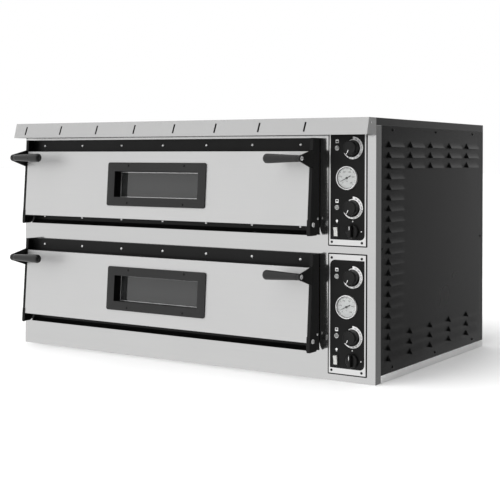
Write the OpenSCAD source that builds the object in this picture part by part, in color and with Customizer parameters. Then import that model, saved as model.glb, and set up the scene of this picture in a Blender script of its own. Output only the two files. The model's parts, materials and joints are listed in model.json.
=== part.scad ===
// Two-deck electric countertop pizza oven.
// Every part is drawn from the lower front left corner of the casing (X to the right, Y to the back,
// Z up) and then moved so that the origin is the centre of the underside.

/* [Casing] */
// Width of the casing, without the louvres that stand out of its sides
body_w = 1150; // [1150:1:1250]
// Depth of the casing, from the front frame to the back panel
body_d = 690; // [685:1:800]
// Height of the casing
body_h = 642; // [638:1:700]
// Thickness of the casing's sheet steel
sheet = 1.5; // [1:0.1:2]
// How far the front frame turns back along each side
frame_return = 28.5; // [20:0.5:40]
// Height of the base strip under the side panels
base_strip = 18.3; // [12:0.1:24]
// Height of the top cover's turned-down edge
cover_lip = 18.4; // [12:0.1:24]

/* [Hood] */
// How far the hood's upper edge stands in front of the casing
hood_top_reach = 38; // [30:1:50]
// How far the hood's lower edge stands in front of the casing
hood_low_reach = 49; // [40:1:60]
// Height of the hood's front
hood_h = 41.4; // [35:0.1:42]
// Number of steam slots
hood_slots = 8; // [2:1:8]
// Distance between two steam slots
hood_slot_pitch = 133.4; // [60:0.1:134]

/* [Decks] */
// Height of the lower door's bottom edge above the table
door_z = 69; // [66:1:74]
// Distance from one deck to the next
deck_pitch = 285; // [270:1:288]
// Clear width of a baking chamber
chamber_w = 910; // [860:1:912]
// Clear depth of a baking chamber
chamber_d = 598.5; // [560:0.5:600]
// Clear height of a baking chamber
chamber_h = 168; // [160:1:170]
// Thickness of a hearth stone
stone_t = 14; // [10:0.5:16]
// Diameter of a heating element's tube
element_dia = 8; // [6:0.5:8]

/* [Doors] */
// Left edge of the doors
door_x = 34; // [32:0.5:34]
// Width of a door over its cheeks
door_w = 962; // [955:1:962]
// Height of a door
door_h = 240; // [236:1:242]
// How far the door's front stands out at its top
door_top_reach = 32.5; // [30:0.5:36]
// How far the door's front stands out at its bottom
door_low_reach = 48.5; // [46:0.5:50]
// Lower edge of the sloping steel skin, above the door's bottom
skin_z0 = 24; // [22:0.5:26]
// Upper edge of the sloping steel skin
skin_z1 = 207; // [200:0.5:210]
// Width of the window's bezel
bezel_w = 330; // [310:1:360]
// Height of the window's bezel
bezel_h = 118.5; // [110:0.5:125]
// Width of the window's clear opening
window_w = 280; // [260:1:284]
// Height of the window's clear opening
window_h = 70; // [60:1:74]

/* [Handles] */
// How far a grip's axis stands in front of the casing
grip_reach = 89.4; // [80:0.1:95]
// Height of a grip's axis above the door's bottom
grip_z = 189; // [180:1:195]
// Length of a grip
grip_len = 104; // [90:1:120]
// Largest diameter of a grip, at its free end
grip_dia = 24; // [20:0.5:28]

/* [Controls] */
// Left edge of the control panels
panel_x = 1023; // [1023:0.5:1024]
// Width of a control panel
panel_w = 101; // [101:0.5:102]
// Height of a control panel
panel_h = 291; // [291:0.5:292]
// Height of the lower panel's bottom edge above the table
panel_z = 18.5; // [18:0.5:20]
// Distance from the lower panel to the upper one
panel_pitch = 313.5; // [313:0.5:314]
// Diameter of a thermostat knob
knob_dia = 35; // [32:1:38]
// Diameter of a gauge's bezel
gauge_dia = 58; // [56:1:60]
// Angle of a gauge's pointer, clockwise from straight up
needle_angle = -117; // [-130:1:130]

/* [Louvres] */
// Length of a louvre
louvre_w = 76; // [60:1:80]
// Height of a louvre
louvre_h = 16; // [12:1:18]
// How far a louvre stands out
louvre_out = 8; // [5:0.5:9]
// Distance between two rows of louvres
louvre_pitch = 26.2; // [24:0.1:26.2]

/* [Hidden] */

$fn = 48;
eps = 0.01;
// How far fused sheets reach into each other
lap = 0.5;

// Decks: the lower is 0 and the upper is 1.
decks = [0, 1];
function deck_z(deck) = door_z + deck * deck_pitch;
function panel_base(deck) = panel_z + deck * panel_pitch;

// Baking chambers
door_mid_x = door_x + door_w / 2;
chamber_x = door_mid_x - chamber_w / 2;
chamber_rise = 37;
function chamber_z(deck) = deck_z(deck) + chamber_rise;
element_low = 9.5;
element_high = chamber_h - 8;
element_gap = 35;
element_rows = [110, 300, 490];
element_bend_x = chamber_x + 42;
terminal_x = 1034;
rack_h = 18;
rail_t = 8;
probe_spots = [[205, element_high], [395, element_high], [395, element_low]];
probe_r = 3;
lamp_y = 205;
lamp_rise = 112;
lamp_r = 16;

// Control bay, between the insulated wall and the right side panel
bay_x = 1011.5;

// Doors
band_y = -8;
rear_y = -2;
pivot_y = -34.6;
pivot_rise = 27;
heel_r = 32.6;
flange_w = 9;
door_sheet = 1.5;
shelf_gap = 1.35;
door_tilt = atan((door_low_reach - door_top_reach) / door_h);
function front_y(z) = -door_low_reach + (door_low_reach - door_top_reach) * z / door_h;
window_rise = 117.75;
duct_depth = 26;
pane_t = 3;
pane_lap = 10;
wool_gap = 4;
screw_pitch = 143.5;

// Hinges
arm_t = 5;
arm_r = 8;
arm_gap = 1;
// Thickness of the cover plate in front of an arm's slot
plate_cover = 0.8;
// How far the left covers reach outward past the doors' edge
cover_reach = 13;
bolt_r = 4;
running = 0.05;
// Room around a piece that passes through a sheet
fit = 0.2;

// Handles
plate_t = 3;

// Controls, as places on a panel: X, and height above the panel's bottom edge
knob_x = 1088;
top_knob_rise = 237.1;
floor_knob_rise = 92;
gauge_x = 1072.5;
gauge_rise = 164.1;
selector_rise = 34.7;
pilot_x = 1044.8;
pilot_r = 4.5;
rocker_x = 1042;
rocker_rise = 33;
bay_opening = [1033, 1109];
spindle_r = 3;
rocker_rest = 8;

// ---------------------------------------------------------------- helpers

// Moves a part drawn from the casing's lower front left corner to the oven's own origin.
module from_corner() {
    translate([-body_w / 2, -body_d / 2, 0]) children();
}

// Extrudes an outline given as [Y, Z] points from x0 to x1.
module side_profile(points, x0, x1) {
    translate([x0, 0, 0]) rotate([90, 0, 90]) linear_extrude(x1 - x0) polygon(points);
}

// A round bar along X.
module x_bar(x0, x1, y, z, r) {
    translate([x0, y, z]) rotate([0, 90, 0]) cylinder(h = x1 - x0, r = r);
}

// Turns a part so that its own Z points out of the oven's front, at a place on the front.
module facing_front(x, z, y = 0) {
    translate([x, y, z]) rotate([90, 0, 0]) children();
}

// A box given by its lowest and its highest corner.
module block(low, high) {
    translate(low) cube(high - low);
}

// Repeats its children mirrored about the doors' middle.
module both_door_ends() {
    children();
    translate([2 * door_mid_x, 0, 0]) mirror([1, 0, 0]) children();
}

// Repeats its children mirrored about the casing's middle.
module both_casing_sides() {
    children();
    translate([body_w, 0, 0]) mirror([1, 0, 0]) children();
}

// A domed screw head with its shank, standing on a surface and pointing along its own Z.
module screw(head_r, head_h, shank_r, shank_len) {
    cylinder(h = head_h * 0.4, r = head_r);
    translate([0, 0, head_h * 0.4 - eps]) cylinder(h = head_h * 0.6 + eps, r1 = head_r, r2 = head_r * 0.6);
    translate([0, 0, -shank_len]) cylinder(h = shank_len + eps, r = shank_r);
}

// ---------------------------------------------------------------- casing

// Bottom sheet with the strip that shows under the side panels.
module base_tray() {
    color("silver") from_corner() {
        block([sheet, sheet, 0], [body_w - sheet, body_d - sheet, sheet]);
        both_casing_sides() block([0, frame_return, 0], [sheet + eps, body_d, base_strip]);
        block([sheet, body_d - sheet - eps, 0], [body_w - sheet, body_d, base_strip]);
    }
}

// Stainless front with the two oven mouths, the control openings and the hinge-arm slots.
module front_frame() {
    color("gainsboro") from_corner() difference() {
        union() {
            block([0, 0, 0], [body_w, sheet, body_h - sheet]);
            both_casing_sides() block([0, sheet - eps, 0], [sheet, frame_return, body_h - cover_lip]);
        }
        for (deck = decks) {
            block(
                [chamber_x, -1, chamber_z(deck)],
                [chamber_x + chamber_w, sheet + 1, chamber_z(deck) + chamber_h]
            );
            block(
                [bay_opening[0], -1, panel_base(deck) + 15],
                [bay_opening[1], sheet + 1, panel_base(deck) + 265]
            );
            both_door_ends() block(
                [door_x + door_sheet + arm_gap - 0.2, -1, deck_z(deck) + pivot_rise - arm_r - 0.2],
                [door_x + door_sheet + arm_gap + arm_t + 0.2, sheet + 1, deck_z(deck) + pivot_rise + arm_r + 0.2]
            );
            for (x = panel_screw_x, z = panel_screw_z)
                facing_front(x, panel_base(deck) + z, sheet + 1) cylinder(h = sheet + 2, r = 1.25);
        }
        both_casing_sides() facing_front(hood_screw[0], hood_screw[1], sheet + 1)
            cylinder(h = sheet + 2, r = 1.25);
    }
}

louvre_z0 = 48;
louvre_y0 = 68;
louvre_col_pitch = 124.1;
louvre_rows = 21;
function louvre_row_z(row) = louvre_z0 + row * louvre_pitch;
// Rows of each column: the first is full, and the others keep three rows at each end.
function louvre_rows_of(col) = [
    for (row = [0:louvre_rows - 1]) if (col == 0 || row < 3 || row >= louvre_rows - 3) row
];

// Extrudes an outline given as [X, Z] points along Y.
module louvre_wedge(length, points) {
    translate([0, length, 0]) rotate([90, 0, 0]) linear_extrude(length) polygon(points);
}

// One louvre pressed out of the right side panel, open at its bottom.
module louvre(y, z) {
    wall = 1;
    x = body_w - sheet;
    out = sheet + louvre_out;
    translate([x, y, z]) difference() {
        louvre_wedge(louvre_w, [[0, 0], [out, 0], [sheet, louvre_h], [0, louvre_h]]);
        translate([0, wall, 0]) louvre_wedge(
            louvre_w - 2 * wall,
            [[-1, -1], [out - wall, -1], [out - wall, 0], [sheet - wall, louvre_h - wall], [-1, louvre_h - wall]]
        );
    }
}

// Black side panel with its louvres, as it is on the right side.
module side_sheet() {
    difference() {
        block(
            [body_w - sheet, frame_return, base_strip],
            [body_w, body_d - back_flange, body_h - cover_lip]
        );
        for (col = [0:4], row = louvre_rows_of(col))
            block(
                [body_w - sheet - 1, louvre_y0 + col * louvre_col_pitch, louvre_row_z(row)],
                [body_w + 1, louvre_y0 + col * louvre_col_pitch + louvre_w, louvre_row_z(row) + louvre_h]
            );
        for (spot = side_screws)
            x_bar(body_w - sheet - 1, body_w + 1, spot[0], spot[1], 1.5);
    }
    for (col = [0:4], row = louvre_rows_of(col))
        louvre(louvre_y0 + col * louvre_col_pitch, louvre_row_z(row));
}

module right_side_panel() {
    color([0.12, 0.12, 0.12]) from_corner() side_sheet();
}

module left_side_panel() {
    color([0.12, 0.12, 0.12]) mirror([1, 0, 0]) from_corner() side_sheet();
}

back_flange = 14;
gland_spot = [1075, 62];
gland_r = 13;
back_screws = [for (x = [60, 575, 1090], z = [40, 600]) [x, z]];

// Back panel, turned forward along both sides, with slots for air and the hole for the gland.
module back_panel() {
    color([0.14, 0.14, 0.14]) from_corner() difference() {
        union() {
            block([0, body_d - sheet, base_strip], [body_w, body_d, body_h - cover_lip]);
            both_casing_sides() block(
                [0, body_d - back_flange, base_strip],
                [sheet, body_d - sheet + eps, body_h - cover_lip]
            );
        }
        facing_front(gland_spot[0], gland_spot[1], body_d + 1) cylinder(h = sheet + 2, r = gland_r + fit);
        for (x = [1035:12:1119])
            block([x, body_d - sheet - 1, 480], [x + 4, body_d + 1, 560]);
        for (spot = back_screws)
            facing_front(spot[0], spot[1], body_d + 1) cylinder(h = sheet + 2, r = 1.5);
    }
}

// Flat top with its edges turned down over the sides and the back.
module top_cover() {
    color([0.12, 0.12, 0.12]) from_corner() {
        block([0, 0, body_h - sheet], [body_w, body_d, body_h]);
        both_casing_sides() block(
            [0, sheet, body_h - cover_lip],
            [sheet, body_d, body_h - sheet + eps]
        );
        block([sheet - eps, body_d - sheet, body_h - cover_lip], [body_w - sheet + eps, body_d, body_h - sheet + eps]);
    }
}

hood_t = 1.2;
hood_base_z = body_h - hood_h;
slot_x0 = 43.3;
slot_lean = 6;
slot_half_w = 2.4;
// Place of the rivet in each end plate, and of the screw on the front beside it
hood_rivet = [-25, 629.5];
rivet_r = 1.2;
hood_screw = [5.3, 599];

// Sloping steam hood along the top of the front, with its end plates and slots.
module hood() {
    color("silver") from_corner() difference() {
        union() {
            side_profile(
                [
                    [-hood_top_reach, body_h], [-hood_low_reach, hood_base_z],
                    [-hood_low_reach + hood_t, hood_base_z], [-hood_top_reach + hood_t, body_h - hood_t],
                    [-hood_t, body_h - hood_t], [-hood_t, body_h - 17], [0, body_h - 17], [0, body_h]
                ],
                0, body_w
            );
            block([0, -hood_t, hood_base_z + 3], [panel_x - 3, 0, body_h - 17 + lap]);
            both_casing_sides() side_profile(
                [
                    [-hood_top_reach, body_h], [-hood_low_reach, hood_base_z],
                    [0, hood_base_z], [0, body_h]
                ],
                0, hood_t
            );
        }
        for (i = [0:hood_slots - 1])
            translate([slot_x0 + i * hood_slot_pitch, 0, hood_base_z + 20]) rotate([0, slot_lean, 0])
                side_profile([[-60, -12], [-20, -12], [-20, 12], [-60, 12]], -slot_half_w, slot_half_w);
        both_casing_sides() x_bar(-1, hood_t + 1, hood_rivet[0], hood_rivet[1], rivet_r);
    }
}

side_screws = [
    [92, 614], [352, 614], [610, 614], [94, 30], [352, 30], [610, 30], [34, 324], [671, 321]
];

// Screws of the side panels, the front's upper corners and the back panel, and the hood's end rivets.
module casing_screws() {
    color("gray") from_corner() {
        both_casing_sides() {
            for (spot = side_screws)
                translate([body_w, spot[0], spot[1]]) rotate([0, 90, 0]) screw(3.5, 2.2, 1.5, 8);
            translate([body_w, hood_rivet[0], hood_rivet[1]]) rotate([0, 90, 0]) screw(2.2, 1, rivet_r, 3);
            facing_front(hood_screw[0], hood_screw[1]) screw(2.8, 1.6, 1.25, 5);
        }
        for (spot = back_screws)
            translate([spot[0], body_d, spot[1]]) rotate([-90, 0, 0]) screw(3.5, 2.2, 1.5, 8);
    }
}

// ---------------------------------------------------------------- baking chambers

// Everything that passes through a chamber's right wall, made wider by grow.
module wall_passages(deck, x0, x1, grow) {
    z = chamber_z(deck);
    for (row = element_rows, side = [-1, 1], level = [element_low, element_high])
        x_bar(x0, x1, row + side * element_gap, z + level, element_dia / 2 + grow);
    for (spot = probe_spots)
        x_bar(x0, x1, spot[0], z + spot[1], probe_r + grow);
    x_bar(x0, x1, lamp_y, z + lamp_rise, lamp_r + grow);
}

// Steel lining of one deck, open at the front.
module chamber(deck) {
    x1 = chamber_x + chamber_w;
    y1 = sheet + chamber_d;
    z0 = chamber_z(deck);
    z1 = z0 + chamber_h;
    color("lightsteelblue") from_corner() difference() {
        block([chamber_x - sheet, sheet, z0 - sheet], [x1 + sheet, y1 + sheet, z1 + sheet]);
        block([chamber_x, sheet - 1, z0], [x1, y1, z1]);
        wall_passages(deck, x1 - 1, x1 + sheet + 1, 0.2);
    }
}

module upper_chamber() {
    chamber(1);
}

module lower_chamber() {
    chamber(0);
}

support_x = [150, 840];
support_w = 40;
support_wall = 2;
// Heights of the gaps under the lower chamber and between the two.
support_gaps = [
    [sheet, chamber_z(0) - sheet],
    [chamber_z(0) + chamber_h + sheet, chamber_z(1) - sheet]
];

// Box-section rails that carry the chambers.
module deck_supports() {
    color("slategray") from_corner() for (x = support_x, gap = support_gaps) difference() {
        block([x, 30, gap[0]], [x + support_w, 590, gap[1]]);
        block(
            [x + support_wall, 29, gap[0] + support_wall],
            [x + support_w - support_wall, 591, gap[1] - support_wall]
        );
    }
}

insulation_top = 618;

// Mineral wool around both chambers.
module chamber_insulation() {
    color("khaki") from_corner() difference() {
        block([3, 8, 3], [bay_x - 0.5, 655, insulation_top]);
        for (deck = decks) {
            block(
                [chamber_x - sheet, 0, chamber_z(deck) - sheet],
                [chamber_x + chamber_w + sheet, sheet + chamber_d + sheet, chamber_z(deck) + chamber_h + sheet]
            );
            wall_passages(deck, chamber_x + chamber_w, bay_x + 1, 0.5);
        }
        for (x = support_x, gap = support_gaps)
            block([x, 30, gap[0]], [x + support_w, 590, gap[1]]);
        both_casing_sides() for (spot = side_screws)
            x_bar(-1, 10, spot[0], spot[1], 3);
    }
}

// Insulated wall of the control bay.
module control_bay_wall() {
    color("silver") from_corner() difference() {
        block([bay_x, 3, sheet], [bay_x + sheet, 655, insulation_top]);
        for (deck = decks) wall_passages(deck, bay_x - 1, bay_x + sheet + 1, 0.2);
    }
}

stone_cols = 3;
stone_rows = 2;
stone_gap = 1;
stone_area_x = chamber_x + 2;
stone_area_w = chamber_w - 4;
stone_area_y = 5;
stone_area_d = chamber_d - 10;
stone_w = (stone_area_w - (stone_cols - 1) * stone_gap) / stone_cols;
stone_d = (stone_area_d - (stone_rows - 1) * stone_gap) / stone_rows;

// Refractory slabs of both decks, side by side.
module hearth_stones() {
    color("tan") from_corner() for (deck = decks, i = [0:stone_cols - 1], j = [0:stone_rows - 1])
        translate([
            stone_area_x + i * (stone_w + stone_gap),
            stone_area_y + j * (stone_d + stone_gap),
            chamber_z(deck) + rack_h
        ]) cube([stone_w, stone_d, stone_t]);
}

// Welded racks that hold the stones over the floor elements.
module stone_racks() {
    color("dimgray") from_corner() for (deck = decks) {
        z = chamber_z(deck);
        y1 = stone_area_y + stone_area_d;
        for (y = [stone_area_y, y1 - rail_t])
            block([stone_area_x, y, z], [stone_area_x + stone_area_w, y + rail_t, z + rack_h]);
        for (i = [0:stone_cols]) {
            x = stone_area_x + (stone_area_w - 12) * i / stone_cols;
            block([x, stone_area_y + 1, z + rack_h - 4], [x + 12, y1 - 1, z + rack_h]);
        }
    }
}

// One hairpin: two straight legs and a half-round bend at the left.
module hairpin(y, z) {
    for (side = [-1, 1])
        x_bar(element_bend_x, terminal_x, y + side * element_gap, z, element_dia / 2);
    translate([element_bend_x, y, z]) difference() {
        rotate_extrude() translate([element_gap, 0]) circle(r = element_dia / 2);
        translate([0, -element_gap * 2, -element_dia]) cube([element_gap * 2, element_gap * 4, element_dia * 2]);
    }
}

// Tubular elements over and under the baking space of both decks.
module heating_elements() {
    color([0.35, 0.3, 0.28]) from_corner()
        for (deck = decks, row = element_rows, level = [element_low, element_high])
            hairpin(row, chamber_z(deck) + level);
}

// Ceramic holders with their bulbs, in the right wall of each chamber.
module oven_lamps() {
    color("ivory") from_corner() for (deck = decks) {
        z = chamber_z(deck) + lamp_rise;
        x_bar(chamber_x + chamber_w + sheet, bay_x + 22, lamp_y, z, lamp_r);
        x_bar(chamber_x + chamber_w - 4, chamber_x + chamber_w + sheet + eps, lamp_y, z, 9);
        translate([chamber_x + chamber_w - 4, lamp_y, z]) sphere(r = 9);
    }
}

// Screw-in glass covers over the bulbs.
module lamp_glasses() {
    color([0.85, 0.9, 0.95, 0.5]) from_corner() for (deck = decks)
        translate([chamber_x + chamber_w, lamp_y, chamber_z(deck) + lamp_rise]) rotate([0, -90, 0]) difference() {
            union() {
                cylinder(h = 4, r = 22);
                cylinder(h = 12, r = 16);
                translate([0, 0, 12]) intersection() {
                    sphere(r = 16);
                    cylinder(h = 17, r = 17);
                }
            }
            translate([0, 0, -1]) cylinder(h = 13, r = 13);
            translate([0, 0, 12]) sphere(r = 13);
        }
}

// Thermostat and gauge probes through the right wall.
module sensor_probes() {
    color("peru") from_corner() for (deck = decks, spot = probe_spots)
        x_bar(chamber_x + chamber_w - 120, terminal_x - 6, spot[0], chamber_z(deck) + spot[1], probe_r);
}

// ---------------------------------------------------------------- controls

panel_screw_x = [1030.5, 1113];
panel_screw_z = [7.3, 282.5];

// One control plate, with the holes for what passes through it.
module control_panel(deck) {
    z = panel_base(deck);
    color("silver") from_corner() difference() {
        block([panel_x, -sheet, z], [panel_x + panel_w, 0, z + panel_h]);
        for (rise = [top_knob_rise, floor_knob_rise, selector_rise])
            facing_front(knob_x, z + rise, 1) cylinder(h = sheet + 2, r = spindle_r + 1);
        facing_front(gauge_x, z + gauge_rise, 1) cylinder(h = sheet + 2, r = gauge_dia / 2 - 3 + fit);
        for (rise = [top_knob_rise, floor_knob_rise])
            facing_front(pilot_x, z + rise, 1) cylinder(h = sheet + 2, r = pilot_r + fit);
        facing_front(rocker_x, z + rocker_rise, 1) translate([-7, -13, 0]) cube([14, 26, sheet + 2]);
        for (x = panel_screw_x, rise = panel_screw_z)
            facing_front(x, z + rise, 1) cylinder(h = sheet + 2, r = 1.25);
    }
}

module upper_control_panel() {
    control_panel(1);
}

module lower_control_panel() {
    control_panel(0);
}

module panel_screws() {
    color([0.2, 0.2, 0.2]) from_corner() for (deck = decks, x = panel_screw_x, rise = panel_screw_z)
        facing_front(x, panel_base(deck) + rise, -sheet) screw(3.2, 2, 1.25, 7);
}

dial_face = 1;
pin_r = 0.8;

// Gauge cups with dial, bezel ring and the pin that the pointer turns on.
module gauge_cases() {
    ring = gauge_dia / 2;
    color("white") from_corner() for (deck = decks)
        facing_front(gauge_x, panel_base(deck) + gauge_rise, -sheet) {
            translate([0, 0, -20]) cylinder(h = 20 + dial_face, r = ring - 3);
            difference() {
                cylinder(h = 5.5, r = ring);
                translate([0, 0, -1]) cylinder(h = 6, r = ring - 3 - eps);
                cylinder(h = 6, r = ring - 4);
            }
            cylinder(h = 3.4, r = pin_r);
        }
}

// Round glass in front of each dial.
module gauge_glasses() {
    color([0.85, 0.9, 0.95, 0.35]) from_corner() for (deck = decks)
        facing_front(gauge_x, panel_base(deck) + gauge_rise, -sheet)
            translate([0, 0, 4]) cylinder(h = 0.9, r = gauge_dia / 2 - 3.1);
}

// Pointer of a gauge, with its tail and hub.
module gauge_needle(deck) {
    color([0.1, 0.1, 0.1]) from_corner()
        facing_front(gauge_x, panel_base(deck) + gauge_rise, -sheet) rotate([0, 0, -needle_angle])
            translate([0, 0, 2]) difference() {
                union() {
                    cylinder(h = 0.8, r = 3);
                    linear_extrude(0.8) polygon([[-1.3, -12], [1.3, -12], [0.8, 2], [0.3, 20], [-0.3, 20], [-0.8, 2]]);
                }
                translate([0, 0, -1]) cylinder(h = 3, r = pin_r + running);
            }
}

module upper_gauge_needle() {
    gauge_needle(1);
}

module lower_gauge_needle() {
    gauge_needle(0);
}

// Body of a rotary control behind its panel, bored for the spindle.
module rotary_body(size, depth, z) {
    facing_front(knob_x, z, 0) rotate([180, 0, 0]) difference() {
        translate([-size / 2, -size / 2, 0]) cube([size, size, depth]);
        translate([0, 0, -1]) cylinder(h = 20, r = spindle_r + running);
    }
}

module thermostat_bodies() {
    color("lightgray") from_corner() for (deck = decks, rise = [top_knob_rise, floor_knob_rise])
        rotary_body(38, 32, panel_base(deck) + rise);
}

module selector_switch_bodies() {
    color("dimgray") from_corner() for (deck = decks)
        rotary_body(36, 42, panel_base(deck) + selector_rise);
}

knob_gap = 0.8;
knob_h = 19.2;
// Clock angle of a thermostat knob's pointer at its off position
knob_rest = 207;

// Spindle that turns with its knob, reaching into the body behind the panel.
module spindle() {
    translate([0, 0, -sheet - 16]) cylinder(h = sheet + 16 + 10, r = spindle_r);
}

// Round thermostat knob with a bevelled front edge and a pointer groove down its side.
module thermostat_knob(deck, rise) {
    r = knob_dia / 2;
    edge = 1.6;
    color([0.08, 0.08, 0.08]) from_corner() facing_front(knob_x, panel_base(deck) + rise, -sheet) {
        spindle();
        difference() {
            union() {
                translate([0, 0, knob_gap]) cylinder(h = knob_h - edge, r = r);
                translate([0, 0, knob_gap + knob_h - edge - eps]) cylinder(h = edge + eps, r1 = r, r2 = r - edge);
            }
            rotate([0, 0, -knob_rest]) translate([-0.8, r - 0.6, 0]) cube([1.6, 2, 30]);
        }
    }
}

module upper_top_heat_knob() {
    thermostat_knob(1, top_knob_rise);
}

module upper_floor_heat_knob() {
    thermostat_knob(1, floor_knob_rise);
}

module lower_top_heat_knob() {
    thermostat_knob(0, top_knob_rise);
}

module lower_floor_heat_knob() {
    thermostat_knob(0, floor_knob_rise);
}

// Selector knob: a disc with a straight grip across it.
module selector_knob(deck) {
    color([0.08, 0.08, 0.08]) from_corner() facing_front(knob_x, panel_base(deck) + selector_rise, -sheet) {
        spindle();
        translate([0, 0, knob_gap]) cylinder(h = 6, r = 17);
        intersection() {
            translate([-4.5, -16.5, knob_gap]) cube([9, 33, 18]);
            cylinder(h = 20, r = 16.5);
        }
    }
}

module upper_selector_knob() {
    selector_knob(1);
}

module lower_selector_knob() {
    selector_knob(0);
}

// Snap-in housings of the light switches, with the pin that the rocker turns on.
module light_switch_housings() {
    color([0.15, 0.15, 0.15]) from_corner() for (deck = decks)
        facing_front(rocker_x, panel_base(deck) + rocker_rise, -sheet) {
            difference() {
                union() {
                    translate([-8.5, -14.5, 0]) cube([17, 29, 2]);
                    translate([-7, -13, -22]) cube([14, 26, 22 + eps]);
                }
                translate([-5.3, -11.8, -10]) cube([10.6, 23.6, 20]);
            }
            translate([-5.5, 0, -2]) rotate([0, 90, 0]) cylinder(h = 11, r = 1.5);
        }
}

// Paddle of a light switch, resting pressed in at its lower end.
module light_rocker(deck) {
    color("white") from_corner() facing_front(rocker_x, panel_base(deck) + rocker_rise, -sheet)
        translate([0, 0, -2]) rotate([rocker_rest, 0, 0]) difference() {
            rotate([90, 0, 90]) translate([0, 0, -5]) linear_extrude(10)
                polygon([[-10.8, 0], [-6, -4.5], [6, -4.5], [10.8, 0], [10.8, 5.8], [0, 4.6], [-10.8, 5.8]]);
            rotate([0, 90, 0]) translate([0, 0, -8]) cylinder(h = 16, r = 1.5 + running);
        }
}

module upper_light_rocker() {
    light_rocker(1);
}

module lower_light_rocker() {
    light_rocker(0);
}

// Small round signal lamps beside the thermostat knobs.
module pilot_lamps() {
    color("orange") from_corner() for (deck = decks, rise = [top_knob_rise, floor_knob_rise])
        facing_front(pilot_x, panel_base(deck) + rise, -sheet) {
            cylinder(h = 1.2, r = 6);
            cylinder(h = 3, r = 4.6);
            translate([0, 0, -16]) cylinder(h = 17, r = pilot_r);
        }
}

// Contactors and the supply terminal block on the bay's insulated wall.
module contactors() {
    color("beige") from_corner() {
        for (z = [150, 430]) {
            block([bay_x + sheet, 500, z], [bay_x + sheet + 60, 545, z + 74]);
            block([bay_x + sheet + 60 - eps, 505, z + 18], [bay_x + sheet + 78, 540, z + 56]);
        }
        difference() {
            block([bay_x + sheet, 570, 50], [bay_x + sheet + 30, 640, 76]);
            for (i = [0:4])
                translate([bay_x + sheet + 15, 577 + i * 14, 60]) cylinder(h = 20, r = 3.5);
        }
    }
}

// Gland where the supply lead enters the back.
module cable_gland() {
    color([0.15, 0.15, 0.15]) from_corner()
        translate([gland_spot[0], body_d, gland_spot[1]]) rotate([-90, 0, 0]) difference() {
            union() {
                translate([0, 0, -14]) cylinder(h = 16, r = gland_r);
                cylinder(h = 6, r = 18, $fn = 6);
                translate([0, 0, 6 - eps]) cylinder(h = 14, r = 15);
                translate([0, 0, -sheet - 6]) cylinder(h = 6, r = 18, $fn = 6);
            }
            translate([0, 0, -20]) cylinder(h = 60, r = 8);
        }
}

// ---------------------------------------------------------------- hinges

// Fixed arms that reach out of the front frame and carry the doors' pivots, with their cover plates.
module hinge_arms() {
    x0 = door_x + door_sheet + arm_gap;
    color([0.12, 0.12, 0.12]) from_corner() for (deck = decks) both_door_ends() {
        z = deck_z(deck) + pivot_rise;
        difference() {
            union() {
                block([x0, pivot_y, z - arm_r], [x0 + arm_t, 7, z + arm_r]);
                block([door_x + 0.5, -plate_cover, z - 26], [inner_x + 3, 0, z + 14]);
                x_bar(x0, x0 + arm_t, pivot_y, z, arm_r);
                block([x0, sheet, z - 25], [chamber_x - sheet - 1, 7, z + 25]);
            }
            x_bar(x0 - 1, x0 + arm_t + 1, pivot_y, z, bolt_r);
        }
    }
    color([0.12, 0.12, 0.12]) from_corner() for (deck = decks) {
        z = deck_z(deck) + pivot_rise;
        block([door_x - cover_reach, -plate_cover, z - 26], [door_x + 0.5 + lap, 0, z + 14]);
    }
}

// Shoulder bolts through the doors' cheeks into the arms.
module hinge_bolts() {
    x0 = door_x + door_sheet + arm_gap;
    color("white") from_corner() for (deck = decks) both_door_ends() {
        z = deck_z(deck) + pivot_rise;
        x_bar(door_x - 0.4, x0 + arm_t, pivot_y, z, bolt_r);
        translate([door_x - 0.4, pivot_y, z]) rotate([0, -90, 0]) {
            cylinder(h = 1.6, r = 6);
            translate([0, 0, 1.6 - eps]) cylinder(h = 1.6, r1 = 6, r2 = 3.6);
        }
    }
}

// ---------------------------------------------------------------- doors

// Places a door part, drawn from the door's bottom edge, on its deck.
module on_deck(deck) {
    from_corner() translate([0, 0, deck_z(deck)]) children();
}

// A slice of the door's whole side outline, with the heel rounded about the pivot.
module door_outline(x0, x1) {
    difference() {
        side_profile(
            [
                [front_y(0), 0], [rear_y, 0], [rear_y, door_h],
                [front_y(door_h), door_h]
            ],
            x0, x1
        );
        heel_waste(x0 - 1, x1 + 1);
    }
}

// What a rounded heel leaves out, so that it clears the front frame as the door turns.
module heel_waste(x0, x1) {
    difference() {
        block([x0, pivot_y, -1], [x1, 1, pivot_rise]);
        x_bar(x0 - 1, x1 + 1, pivot_y, pivot_rise, heel_r);
    }
}

// A strip of sheet that follows the sloping front between two heights.
module front_strip(x0, x1, z0, z1, t) {
    side_profile(
        [[front_y(z0), z0], [front_y(z0) + t, z0], [front_y(z1) + t, z1], [front_y(z1), z1]],
        x0, x1
    );
}

inner_x = door_x + door_sheet + arm_gap + arm_t + 1;

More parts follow.
